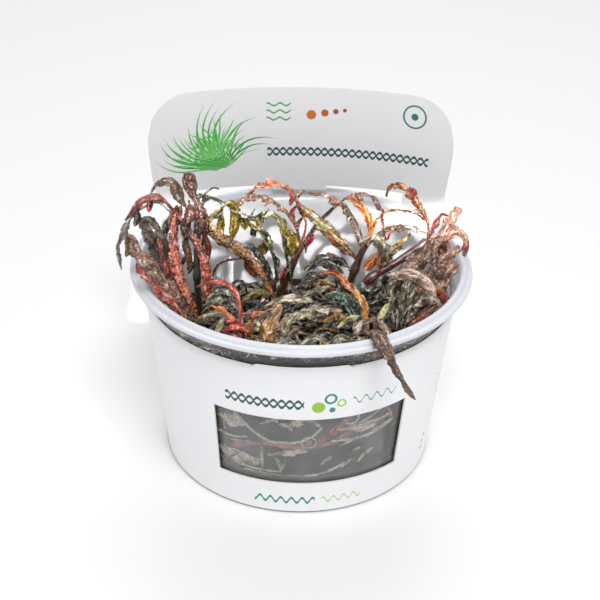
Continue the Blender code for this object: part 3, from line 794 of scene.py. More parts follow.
def fine_frames(path, face, turn):
    """The frames of a finely divided path, from those of a few stations so that they turn evenly."""
    count = len(path)
    coarse = smooth_path(path[np.linspace(0, count - 1, FRAME_STATIONS).astype(int)], FRAME_STATIONS)
    sides, normals = path_frames(coarse, face, turn)
    at = np.linspace(0.0, 1.0, count)
    knots = np.linspace(0.0, 1.0, FRAME_STATIONS)
    side = between(at, knots, sides)
    tangents = units(np.gradient(path, axis=0))
    side = units(side - tangents * np.sum(side * tangents, axis=1, keepdims=True))
    normal = np.cross(side, tangents)
    facing = between(at, knots, normals)
    normal *= np.sign(np.sum(normal * facing, axis=1, keepdims=True) + 1e-9)
    return tangents, side, normal


def ripple(x, y, rng, size):
    """A smooth uneven field over x and y in millimetres, about -1 to 1, with bumps of a size."""
    total = np.zeros(np.broadcast(x, y).shape)
    for octave in (1.0, 1.9, 3.1):
        heading = rng.uniform(0.0, TURN)
        phase = rng.uniform(0.0, TURN, 2)
        pace = TURN / size * octave
        along = x * math.cos(heading) + y * math.sin(heading)
        across = y * math.cos(heading) - x * math.sin(heading)
        total += np.sin(pace * along + phase[0]) * np.cos(0.7 * pace * across + phase[1]) / octave
    return total / 1.6


def ring_quads(count, size):
    """The quads between rings of points, each with its four corners as (ring, column)."""
    for ring in range(count - 1):
        for column in range(size):
            yield (ring, column), (ring, column + 1), (ring + 1, column + 1), (ring + 1, column)


def table_rows(text):
    """The rows of a table. A row that goes on over lines has its other lines set in."""
    return text.strip().replace("\n    ", " ").split("\n")


# A form is how a blade is cut and bent. stalk: the share of the length that is a bare stalk. peak: below 1
# puts the widest place nearer the base. tip: below 1 gives a blunter end. depth: how deep the lobes are
# cut. sharp: above 1 gives pointed lobes. lean: how far lobes point forward. fold and curl: the angles in
# radians at which each half rises from the midrib and rolls on. wave, quilt and wrinkle: heights in
# millimetres of the margin's waves, of the bulges between side veins and of the fine creases. flare: how
# far, in radians, a lobe may bend up or down.
FORM_TABLE = """
form       stalk    peak     tip   depth   sharp    lean    fold    curl    wave   quilt wrinkle   flare
strap       0.12     0.8    0.55    0.36     0.7     0.7    -0.3    -0.6     0.6     0.4     0.4     0.9
toothed     0.05    0.85     0.5    0.42     0.8       1     0.2     0.2     0.5     0.5    0.45     1.1
wrinkled    0.08    0.75    0.45     0.4     0.6     0.8    -0.2    -0.6       1     0.7    0.65     1.3
glossy      0.12     0.8     0.5     0.4     0.7     0.7   -0.25   -0.45    0.45     0.3    0.12     0.8
lobed       0.12     0.9    0.45    0.58     0.8     0.9     0.1    -0.5     0.5     0.3     0.3     1.2
oval        0.18     0.9     0.5       0       1       0   -0.15    -0.4     0.3     0.2    0.15       0
lobe           0     0.9     0.4       0       1       0    -0.3    -0.6     0.2    0.15    0.15       0
blunt        0.1     1.6     0.3     0.3     0.6     0.5    -0.2    -0.5     0.7     0.6     0.6       1
paddle       0.4     2.6    0.25     0.2     0.6     0.4   -0.15    -0.4     0.4     0.4     0.5     0.6
ribbed      0.08     0.8    0.55     0.3     0.6     1.2    -0.2    -0.4     0.6     0.9     0.4     0.7
"""
FORM_HEAD, *FORM_ROWS = [row.split() for row in table_rows(FORM_TABLE)]
FORMS = {row[0]: dict(zip(FORM_HEAD[1:], map(float, row[1:]))) for row in FORM_ROWS}
THREAD = "thread"
BLADE_THICKNESS = 0.22
STALK_WIDTH = 0.95
FACES = {"up": (0.0, 0.0, 1.0), "front": (0.0, -1.0, 0.25), "front_up": (0.0, -0.7, 0.7),
         "left": (-1.0, 0.0, 0.3), "right": (1.0, 0.0, 0.3)}


def blade_margins(form, share, stalk, lobes, width, length, rng):
    """By station: half the blade's width and its lobes' bend on each side, the part inside the notches, the
    outline without lobes and the share of the blade that lies behind."""
    spread = np.clip((share - stalk) / (1.0 - stalk), 0.0, 1.0)
    outline = np.maximum(np.sin(math.pi * spread ** form["peak"]), 0.0)
    outline = outline ** np.where(spread > 0.6, form["tip"], 0.7)
    sizes = rng.uniform(0.5, 1.3, (2, lobes + 4))
    bends = rng.uniform(-1.0, 1.0, (2, lobes + 4)) * form["flare"]
    shift = rng.uniform(0.0, 0.3)
    halves = []
    bend = []
    for side in range(2):
        uneven = 0.22 * np.sin(math.pi * lobes * 0.37 * spread + rng.uniform(0.0, 6.3))
        phase = lobes * spread + 0.5 * side + shift + 0.22 + uneven
        cell = np.minimum(phase.astype(int), lobes + 3)
        lobe = np.sin(math.pi * (phase - phase.astype(int))) ** form["sharp"]
        cut = 1.0 - form["depth"] + form["depth"] * lobe * sizes[side][cell]
        pace = rng.uniform(3.2, 4.2)
        cut *= 1.0 + 0.08 * np.sin(pace * share * length + side) * np.sin(0.37 * pace * share * length)
        least = np.where(spread < 0.5, STALK_WIDTH / 2.0, 0.05)
        halves.append(np.maximum(width / 2.0 * outline * cut, least))
        bend.append(bends[side][cell])
    core = width / 2.0 * outline * (1.0 - form["depth"])
    return halves, bend, core, outline, spread


def add_blade(build, seed, kind, form_name, width, lobes, face, turn, route, stalk=None, step=STATION_STEP,
              columns=HALF_COLUMNS):
    """Adds one leaf along a route: a stalk, a midrib and a lobed, waved and creased blade of two faces."""
    material = leaf_material(kind)
    if form_name == THREAD:
        add_tube(build, material, route, width / 2.0, width / 2.6, THREAD_SIDES, seed)
        return
    form = FORMS[form_name]
    rng = np.random.default_rng(seed)
    path, length = stepped_path(route, trial=80, step=step, fewest=12, most=150)
    count = len(path)
    tangents, sides, normals = (rows[:, None, :] for rows in fine_frames(path, face, turn))
    share = np.linspace(0.0, 1.0, count)
    stalk = form["stalk"] if stalk is None else stalk
    lobes = max(lobes, 1)
    halves, bends, core, outline, spread = blade_margins(form, share, stalk, lobes, width, length, rng)
    t = np.linspace(-1.0, 1.0, 2 * columns + 1)
    far = np.abs(t)[None, :]

    def by_side(left, right):
        return np.where(t[None, :] < 0.0, left, right)

    half = by_side(halves[0][:, None], halves[1][:, None])
    run = share[:, None] * length
    sway = 0.3 * np.sin(TURN * share * rng.uniform(0.8, 1.6) + rng.uniform(0.0, 6.3))[:, None]
    fold = form["fold"] + sway * abs(form["fold"])
    curl = form["curl"] * (1.0 + sway) + 1e-4
    out = half * (np.sin(fold + curl * far) - np.sin(fold)) / curl
    rise = half * (np.cos(fold) - np.cos(fold + curl * far)) / curl
    beat = TURN * lobes * spread[:, None]
    side_phase = by_side(rng.uniform(0.0, 6.3), rng.uniform(0.0, 6.3))
    slack = outline[:, None] * min(width / 5.0, 1.3)
    rise += form["wave"] * far ** 2 * np.sin(0.5 * beat + side_phase) * slack
    rise += 0.3 * form["wave"] * far ** 3 * np.sin(3.4 * run + 2.0 * side_phase) * slack
    past = np.maximum(half - core[:, None], 0.0) * far ** 2
    bend = by_side(bends[0][:, None], bends[1][:, None])
    rise += past * np.sin(bend)
    out -= past * (1.0 - np.cos(bend))
    bulge = np.abs(np.sin(0.5 * beat - 1.2 * far + by_side(0.0, math.pi / 2.0)))
    rise += form["quilt"] * (bulge - 0.6) * (1.0 - (2.0 * far - 1.0) ** 2) * slack
    signed = out * np.sign(t)[None, :]
    rise += form["wrinkle"] * ripple(run, signed, rng, 3.0) * slack
    slide = form["lean"] * past
    base = (path[:, None, :] + sides * signed[:, :, None] + normals * rise[:, :, None]
            + tangents * slide[:, :, None])
    stalky = np.clip(1.0 - spread * 6.0, 0.0, 1.0)[:, None]
    rib = 0.2 * np.exp(-(signed / 0.34) ** 2) * (1.0 - share[:, None] * 0.7)
    thick = BLADE_THICKNESS / 2.0 + rib + stalky * 0.24
    thick = thick * np.sqrt(np.maximum(1.0 - far ** 4, 0.0))
    top = base + normals * thick[:, :, None]
    low = base - normals * thick[:, :, None]
    ring = np.concatenate([top, low[:, -2:0:-1, :]], axis=1)
    size = ring.shape[1]
    across = np.concatenate([t, t[-2:0:-1]])
    grain = np.concatenate([signed, signed[:, -2:0:-1]], axis=1)
    start, aside = seed * 7.3 % 90.0, seed * 3.1 % 70.0
    faces = []
    first = []
    second = []
    for corners in ring_quads(count, size):
        below = LOWER_SHIFT if corners[0][1] >= 2 * columns else 0.0
        shift = aside + below * 5.0
        faces.append([station * size + column % size for station, column in corners])
        first += [(share[station], across[column % size] + below) for station, column in corners]
        second += [(share[station] * length + start, grain[station, column % size] + shift)
                   for station, column in corners]
    for station in (0, count - 1):
        for column in range(2 * columns):
            corners = [column, column + 1, (size - column - 1) % size, (size - column) % size]
            if column == 0:
                corners.pop()
            if column == 2 * columns - 1:
                corners.pop(2)
            if station == 0:
                corners.reverse()
            faces.append([station * size + corner for corner in corners])
            first += [(share[station], across[column])] * len(corners)
            second += [(share[station] * length + start, aside)] * len(corners)
    build.add(ring.reshape(-1, 3), faces, first, second, material)


def add_tube(build, material, route, start_radius, end_radius, sides, seed, nodes=()):
    """Adds a round stem or thread along a route, with a swelling at each share in nodes."""
    path, length = stepped_path(route, trial=60, step=TUBE_STEP, fewest=8, most=110)
    count = len(path)
    _, across, normals = fine_frames(path, FACES["right"], (0, 0))
    share = np.linspace(0.0, 1.0, count)
    radii = start_radius + (end_radius - start_radius) * share
    for place in nodes:
        radii = radii * (1.0 + 0.38 * np.exp(-((share - place) * length / 1.5) ** 2))
    rng = np.random.default_rng(seed)
    angles = np.linspace(0.0, TURN, sides, endpoint=False)
    uneven = 1.0 + 0.05 * ripple(share[:, None] * length, angles[None, :] * start_radius, rng, 4.0)
    spokes = (across[:, None, :] * np.cos(angles)[None, :, None]
              + normals[:, None, :] * np.sin(angles)[None, :, None])
    rings = path[:, None, :] + spokes * (radii[:, None] * uneven)[:, :, None]
    offset = seed * 5.7 % 60.0
    faces = []
    first = []
    second = []
    for corners in ring_quads(count, sides):
        faces.append([s * sides + c % sides for s, c in corners])
        first += [(share[s], 2.0 * c / sides - 1.0) for s, c in corners]
        second += [(share[s] * length + offset, c / sides * TUBE_MAP_TURN * start_radius)
                   for s, c in corners]
    faces.append(range(sides - 1, -1, -1))
    faces.append(range((count - 1) * sides, count * sides))
    first += [(0.0, 0.0)] * sides + [(1.0, 0.0)] * sides
    second += [(offset, 0.0)] * sides + [(length + offset, 0.0)] * sides
    build.add(rings.reshape(-1, 3), faces, first, second, material)


# A kind is a leaf's colouring. Its row gives the colours from base to tip on the upper face, of the
# painted highlights on the relief, of the lower face, and of the margin and the darker patches, and then
# what it has besides. spots: small sharp flecks, with their size in millimetres and how many there are.
# rib: the midrib. vein: the side veins. lines: the share of the relief that runs along the leaf. gloss:
# the roughness. wet: how strongly the tops of the relief are painted near-white, as highlights.
KIND_TABLE = """
arch_brown: 34261c 403226 4c3c30, 64564a, 7c5e22, 3c2c1e, wet 0.2
dark_red: 46281f 6a2a26 7e382b 6c2c22, 80483c, 7c3a2c, 3c1e1a, wet 0.18
rust: 8a3c22 a8542a, cc9468, a4552e, 6a2e1c, wet 0.3
grey_green: 4a463a 605c50 747064, bab6ac, 6d6030, 38362a, gloss 0.2
pleated_brown: 5c4432 7c6250 8c7060, c4aa9c, 7c5a3f, 5a3a2a, vein b89e90, lines 0.5
grey_purple: 503428 483c36 504640, 7c7470, 62503e, 3c2e26, wet 0.3
rose_brown: 6e3a2a 94523f a85a48, d09a88, 934233, 74302a, wet 0.45
salmon: c98440 d28e5e cc7e6a c06e60 b0625a, ecc4b4, c06450, 8e343c, spots 7c2430 1.1 0.4, rib e0b080, lines
    0.4
russet: c27c46 cc7e5a bc7460 aa6458 9c5e54, ecbcaa, 9c4c3c, 6a262a, spots 6c2028 1.1 0.4, rib c88a68, lines
    0.4
mauve: 64463c 4c342c 342220, 7c5c52, 6c483c, 422c25, spots 84665c 0.8 0.4, lines 0.3, wet 0.35
tawny: a4582c a66438 96683c 8a6c46 84683e, dcc6a8, 7f6a4e, 6a3e22, spots 7a3420 0.9 0.25, vein c8b494, lines
    0.5
dark_gloss: 28261a 302e20 3e3c2e, 8c8c7c, 6d6520, 16140e, gloss 0.14
olive: 4e400c 5e5014 68591a, 96863c, 85761f, 4c3e10, gloss 0.24, wet 0.3
grey_brown: 64503f 806c5e 8c7a6c, c6b8ae, 7e5a40, 4c3a2e
ember: 7c3428 984e34 945434 885438 705242, c09478, 9c5a2c, 6e3420, spots 8c2f24 0.9 0.25, wet 0.4
olive_ember: 6c421e 58482c 504c34 4c4838, 88826a, 8a5a2c, 94501f, spots 5a3418 0.9 0.3, rib a49c70, wet 0.45
ash_brown: 4a362a 604a3e 685246, 94806f, 6f5038, 4e3224, lines 0.5, wet 0.35
amber: a87824 a4702c 9a5e32 8c5434, cca870, a87530, 84421c, spots 93402c 0.7 0.2, rib d4a050, wet 0.4
frost_green: 706238 747058 868268, ccc8b6, 6d6a4a, 4c4a34, vein b4b09c, gloss 0.18
frost_pink: 604538 705a4c 7c685c, b0a094, 84625c, 503c30, vein b8a498
olive_brown: 6a4c18 7a602c 8c7438, c4b07c, 7d6a30, 4e3a16
chestnut: 70281e 7c4824 845630 764430 6a4834 483828, ac8868, 8c5630, 5c2e1a, rib b07840, wet 0.4
speckled: 6e4030 8c6450 9a7460, d4bcae, 8a5c4a, 5c3a2e, spots cdb4a6 0.8 0.35, vein b89c90, wet 0.55
blush: a08a76 c8b2a2 d4bfb0, f2e8de, 93766a, 7c6250, vein 9a8474
ribbed_beige: 86795c a2977a aca288, e2dac6, 7a6f55, 4a402c, vein beb498, lines 0.8
fan_grey: 40382a 58523f 6a634e, b4ae98, 5c543c, 2c261a, lines 0.75
plum: 3c2420 54383a 64484a, a4949a, 5a3a3a, 2a1614, lines 0.8
flame: b49c34 c09438 c4904c bc8460 b8583c b84c38, e8cc90, c07a3c, 98482c, spots 9d4a34 0.7 0.18, rib d8b65a
brown_spotted: 76695a 6e5c4c 66503e 5a4537 4a3a30, 9c8c7e, 6f5846, 4c382a, spots 6d3a26 0.9 0.35, lines
    0.45, wet 0.4
slate_oval: 343222 403c28, a4a48c, 63634c, a8a890, gloss 0.24
scarlet: 984030 b84834 c8543c, e49c84, b84f3c, 88281f, lines 0.5, wet 0.4
coral: 70402a a85638 c4664a cc6a50 c45c48, f0b49c, b85840, 9c3c34, wet 0.45
tangerine: b88030 cc7a34 c86c3c, f0c890, c07434, 9c5020, wet 0.4
beige_gold: a07844 a4835c b09474 a8866a, dcc6ac, a07c58, 7c5840, spots 86442e 0.7 0.3, rib cca040, vein
    d4bea0
pale_bud: a8a060 c6c394 d5d2ae, f0eed4, b5b184, 8a8450
fresh_green: 2a3c28 385040 465e4a, b4c0b4, 56702f, 101a12, vein d8e0d4, gloss 0.16
stalk_brown: 48321f 624936 7a6048, a8947c, 65503f, 342416
stalk_dark_leaf: 3a2e2a 42342e, 8a7c74, 42342e, 241a16
stalk_red: 702420 843028, b86c5c, 8c3a34, 501814
crimson: 541418 701a20 80282a, b86a6c, 741c2a, 3c0c10, gloss 0.2, wet 0.3
root_white: e8e2d2 f4f0e4, fffdf4, f4f0e4, e0d8c8
pressed_beige: d6c8b2 e4d6c0 d6c8b0, f0e8dc, c8baa4, b09c84
pressed_green: 8ca04c a8b868 98a85a, e0e8c0, 8ca04c, 6a7a34
"""
USUAL_LOOK = {"lines": 0.72, "gloss": 0.16, "wet": 0.85}
# The near-white that is painted on the relief's tops as highlights.
PAINTED_GLINT_WHITE = "f2eae2"
RICHNESS = 0.38


def read_kinds():
    """The looks of each kind, by name."""
    kinds = {}
    for row in table_rows(KIND_TABLE):
        # The third colour of each row is that of the painted highlights on the relief.
        name, ramp, light, under, edge, *extras = row.replace(":", ",").split(", ")
        look = dict(USUAL_LOOK, ramp=ramp.split(), light=light, under=under, edge=edge)
        for extra in extras:
            word, *values = extra.split()
            values = [float(value) if "." in value else value for value in values]
            look[word] = values if len(values) > 1 else values[0]
        kinds[name] = look
    return kinds


KINDS = read_kinds()


def rich(code):
    """A leaf colour in linear light, with its weaker channels lowered."""
    colour = linear(code)
    top = max(colour[:3])
    return tuple(value * (value / top) ** RICHNESS for value in colour[:3]) + (1.0,)


@functools.cache
def leaf_material(kind):
    """A leaf's skin: a ramp from base to tip, dark patches, flecks, veins and margins, another colouring on
    the lower face, and a relief of lines and small domes, with painted shade in its hollows and painted
    highlights on its tops."""
    look = KINDS[kind]
    paint = Paint("leaf_" + kind, IOR=1.5, Specular_IOR_Level=0.55, Coat_Weight=0.3, Coat_Roughness=0.07,
                  Coat_IOR=1.6)
    grain = paint.uv(GRAIN_MAP)
    share, across, _ = paint.split(paint.uv(BLADE_MAP))
    run, side, _ = paint.split(grain)
    below = paint.step(across, 1.9, 2.1)
    far = paint.apart(across, paint.times(below, LOWER_SHIFT))
    patches = paint.noise(grain, 0.3, detail=2.0)
    fine = paint.noise(grain, 1.5, detail=2.0)
    along = paint.times_plus(far, -0.3, paint.times(run, 0.32))
    long = paint.noise(paint.join(along, paint.times(side, 1.15)), 1.0, detail=2.0)
    relief = paint.times_plus(long, look["lines"], paint.times(fine, 1.0 - look["lines"]))
    veining = paint.math("ABSOLUTE", paint.sine(paint.minus(run, paint.times(far, 1.6)), 1.7))
    vein = paint.step(veining, 0.3, 0.06)
    layers = [(paint.step(patches, 0.48, 0.58), 0.65, look["edge"]), (below, 0.8, look["under"])]
    if "vein" in look:
        layers.append((paint.times(vein, paint.step(fine, 0.35, 0.6)), 0.8, look["vein"]))
    if "spots" in look:
        tint, size, amount = look["spots"]
        cell = paint.cells(grain, 1.0 / size)
        worth = paint.step(paint.noise(grain, 0.55 / size), 0.62 - amount * 0.5, 0.72 - amount * 0.5)
        layers.append((paint.times(paint.step(cell, 0.42, 0.24), worth), 0.85, tint))
    if "rib" in look:
        layers.append((paint.step(far, 0.16, 0.06), 0.7, look["rib"]))
    layers.append((paint.step(far, 0.82, 0.96), 0.6, look["edge"]))
    # Painted highlight: the raised half of the relief is mixed towards the kind's highlight colour.
    layers.append((paint.step(relief, 0.49, 0.61), 0.65, look["light"]))
    colour = paint.ramp(share, look["ramp"], rich)
    for mask, strength, tint in layers:
        colour = paint.mix(paint.times(mask, strength), colour, rich(tint))
    # Painted shade: the relief's hollows and the sunken side veins are darkened; broad random patches make
    # the colour darker or lighter.
    shade = paint.times_plus(paint.step(relief, 0.38, 0.52), 0.72, 0.56)
    shade = paint.minus(shade, paint.times(vein, 0.2))
    shade = paint.times(shade, paint.times_plus(paint.step(patches, 0.42, 0.58), -0.35, 1.12))
    tone = paint.node("VectorMath", 0, {0: colour, "Scale": shade}, operation="SCALE")
    # Painted highlights: the highest tops of the relief are painted near-white.
    wet = paint.times(paint.step(relief, 0.575, 0.635), look["wet"])
    paint.set("Base Color", paint.mix(wet, tone, linear(PAINTED_GLINT_WHITE)))
    paint.set("Roughness", paint.times_plus(paint.step(fine, 0.4, 0.6), 0.14, look["gloss"]))
    height = paint.times_plus(relief, 2.6, paint.times(fine, 0.6))
    paint.bump(paint.minus(height, paint.times(vein, 0.5)), 0.7, 0.3)
    return paint.material


# Where each leaf grows. A row gives its name, kind, form, width, number of lobes and face. If the face
# turns, its angles in degrees at the base and at the tip follow, and on a long stalk the share of the
# length that is bare. Then comes the midrib's route, as places x y z. A leaf whose first place has no
# height grows from the tangle and starts ROOT_DEPTH inside it.
ROOT_DEPTH = 3.0
LEAF_TABLE = """
left_leaf_1 arch_brown oval 5.6 5 up -15 10: -30 -6.1 77.3, -34 -4 82, -36 -2 86.5, -39 -1 87.5, -42 0 85.5,
    -44 1 81
left_leaf_2 dark_red oval 3.6 4 up 20 20 0.45: -30 -7 72, -35 -9 80, -39 -9 85, -42 -9 86, -46 -9 84, -50 -9
    78
left_leaf_3 grey_green strap 3.4 5 up 0 60 0.5: -30 -7 69, -36 -3 76, -41 -3 81, -45 -4 80, -49 -5 77, -52
    -5 71, -53.5 -4 65, -52.5 -3 58.5
left_leaf_4 pleated_brown wrinkled 7.6 7 front_up -25 -35: -30 -20, -34 -20 58, -38 -18 63, -42 -15 67.5,
    -46 -12 71, -49 -9 74
left_leaf_5 grey_purple blunt 9 5 front -20 -10: -33 -3, -36 -3 56, -39 -2 61, -41.2 -1 65.7, -43.8 0 69.4,
    -46.2 1 71.1, -47.5 2 70
left_leaf_6 rose_brown wrinkled 4.2 6 front_up -30 -40: -31.5 -24.5, -34 -23.5 58, -37.5 -22.8 62, -41 -22.3
    65.5, -44 -21 68.5, -46 -19 72
left_leaf_7 salmon toothed 4.2 14 front: -28.5 -16, -32 -16 58, -34.5 -14.5 64, -36 -13 71, -36 -12.5 77,
    -35.5 -12 82
left_leaf_8 russet toothed 4.2 13 front: -26 -14.5, -26 -14 56, -26.5 -13.5 62, -27.5 -13 68, -29.5 -12 73,
    -31.5 -11 77
left_leaf_9 mauve paddle 4.8 4 front 0 0 0.45: -30 -7 66, -28 -3 72, -30 -1 78, -32 0 84, -32.5 0 89
left_leaf_10 tawny blunt 4.6 9 front_up 15 15: -7.5 -6, -7.5 -6 50.6, -11.4 -5 59.1, -15.8 -4 64.4, -20.2 -3
    67.4, -24.5 -3 70.8, -28.1 -4 75.2
left_leaf_11 dark_gloss glossy 4.4 4 up -20 0: -30 -7 70, -29 -4 74, -29.4 0 80.8, -27.3 2 80.5, -24.5 3
    79.4, -21.7 4 77.3, -20 5 75.3
left_leaf_12 olive oval 3.6 4 front 0 0 0.6: -30 -7.5 62, -27.9 -4 71.3, -25.5 0 75.4, -21.4 4 77.7, -19.7 5
    74.9, -19.7 5 71, -20.3 5 67.7, -20.9 5 64.6
middle_leaf_1 ash_brown strap 4.8 9 up 0 0 0.35: -0.5 13.5 59, -2 12 67, -6 12 72.5, -11 12 76, -15 11 77,
    -19 10 75, -21 9 72
middle_leaf_2 ember lobed 4.4 10 up 25 0 0.2: 0 14 59.4, 1 17 65, -2 19 71, -5.5 19 75.5, -9 18 77, -13 17
    77, -17 16 74.5
middle_leaf_3 dark_gloss glossy 6.4 6 left 10 30 0.4: -2.8 3.2, -3.8 5 55, -5.5 7 62, -6.5 8 68, -9 8 72,
    -11 7 71
middle_leaf_4 dark_gloss glossy 6.4 6 left -10 20 0.35: -6 -1, -7.5 2 57, -10 4 64, -13 5 68.5, -15.5 5 72,
    -14 6 75
middle_leaf_5 dark_gloss blunt 4 5 up: -9 -1.5, -9.5 0 56, -11.5 1 62, -15 2 65, -19 2 63.5
middle_leaf_6 ash_brown wrinkled 4 5 up -20 0 0.45: 0 14 58.5, 4 19.5 63, 9 21 68, 13 20.5 72, 17 19 74.5,
    21 18 73.5, 25 17 69
middle_leaf_7 olive_ember strap 6 7 front_up: 17 10 56, 13 7 62, 10 6.5 66, 6 6.5 70, 2 7 73.5, -1 8 76
middle_leaf_8 ash_brown strap 4.4 6 up 0 0 0.3: 18.3 10.9 59.5, 15.5 13.7 65.5, 13 15.5 71.5, 9 15.5 74.5, 5
    14.5 76.5, 1.5 13 77
right_leaf_1 amber lobed 3.6 8 front: 20 12 63, 20 12.5 68, 18.5 13 71.5, 16 13 74, 13.5 12 76
right_leaf_2 amber lobed 3.2 11 up 30 0 0.15: 20 12 63, 22 10.5 70, 24.5 9.5 73, 28 8.5 74.5, 32 8.5 74, 36
    8.5 71.5
right_leaf_3 frost_green wrinkled 5 5 up: 23 0.3 57.5, 23.8 1 63, 23.6 2.2 66.6, 21.6 3.5 68, 19.1 4 67.3,
    16.8 4 65.6
right_leaf_4 frost_pink strap 4.6 6 up: 19 11.3 60.5, 22 8 66, 25 6.5 69.5, 29 5.5 71, 33 4.5 71, 37 3.5
    69.5
right_leaf_5 olive_brown strap 4.2 5 up 10 0: 25 1 58.8, 26 5 62.5, 29 6 65.5, 32 7.5 67.5
right_leaf_6 chestnut lobed 3.2 8 front 0 0 0.12: 37 7 65, 37 7.2 70.5, 34.6 7 75.5, 31.8 6 80, 29.2 5 83.4,
    26.5 4 84.6, 24.5 2.5 84.3, 23.9 1.5 82
right_leaf_7 dark_red strap 2.8 4 up: 37 7 65, 39.5 10.5 70, 41.5 12.5 71.5, 44 13.5 70
right_leaf_8 speckled lobed 5.8 5 front 10 10: 37 7 65, 41 6.5 68, 43.5 7 72, 45.5 8 76
right_leaf_9 speckled strap 3.8 6 front_up: 36.5 6.8 64.8, 40 2.5 66, 43.5 2.5 70, 46.5 3 70.5, 48 3.5 67,
    47 4 63.5
right_leaf_10 speckled ribbed 8 5 front_up 10 20: 33 -8, 36 -7 57, 39 -6 62.5, 42 -4.5 66.5, 45.5 -2.5 69
right_leaf_11 speckled lobed 6.4 5 front_up 10 10: 35 -14, 38 -13 58, 41 -12 64, 44.5 -11 68
right_leaf_12 blush wrinkled 7.2 4 front_up 0 0 0.2: 36.5 -19, 38 -18 59, 36.5 -17 64, 33 -16.5 66.5, 29 -16
    67, 24 -14.5 65.5
right_leaf_13 fan_grey ribbed 4.4 4 front: 29 -22, 28.5 -20.5 57, 28 -19.5 61, 30 -18 63.5
right_leaf_14 frost_green wrinkled 5 5 up: 36 -1, 35 -1 55, 33 -2 60, 30 -4 62, 27 -6 60
front_leaf_1 ribbed_beige ribbed 7.4 5 up 15 15: -6 -33, -4 -28 58, 0 -24.5 59, 6 -22.5 59, 12 -22 58
front_leaf_2 ribbed_beige ribbed 4.4 5 up 15 15: -11 -17, -7 -15.5 56, -2 -14 56.5, 3.5 -13 55
front_leaf_3 flame toothed 3 9 front_up: 19 -26.5, 18 -23.5 59.5, 16 -19 61.5, 13 -15 62.5, 10 -12 64, 5 -10
    63.5
front_leaf_4 fresh_green glossy 7.4 4 up 20 20: 19 -17, 15 -15 56.5, 11 -13 58, 7 -12 57
front_leaf_5 dark_gloss glossy 5.4 5 up 10 10: 14 -7, 11.5 -2 57, 8 2 60, 3.5 4.5 58
front_leaf_6 brown_spotted oval 6.2 7 up 10 25: 19.5 -33.5, 20.5 -38 61.5, 21.5 -43 64, 23.5 -47.5 62, 26.5
    -50 57, 29 -50 52, 31.5 -49 47
front_leaf_7 tangerine toothed 2.8 6 up 20 20: -17.5 -31.5, -18 -32.5 60, -20.5 -32 62.5, -24.5 -30 63.5
front_leaf_8 tangerine toothed 2.8 6 up 20 20: -13.5 -33.5, -13 -33.5 61, -10 -31.5 62.5, -6.5 -30 63.5
front_leaf_9 coral toothed 3.2 6 up 10 10 0.45: -15 -33, -16 -35 63, -17 -32.5 68, -20.5 -29 70.5, -25 -27.5
    69.5, -28.5 -27 67.5
front_leaf_10 beige_gold wrinkled 7 6 front_up: -7.5 -35.5, -8.9 -36.6 58, -8.4 -35.5 60.4, -7.1 -33 62.4,
    -5.3 -30 64.5
"""

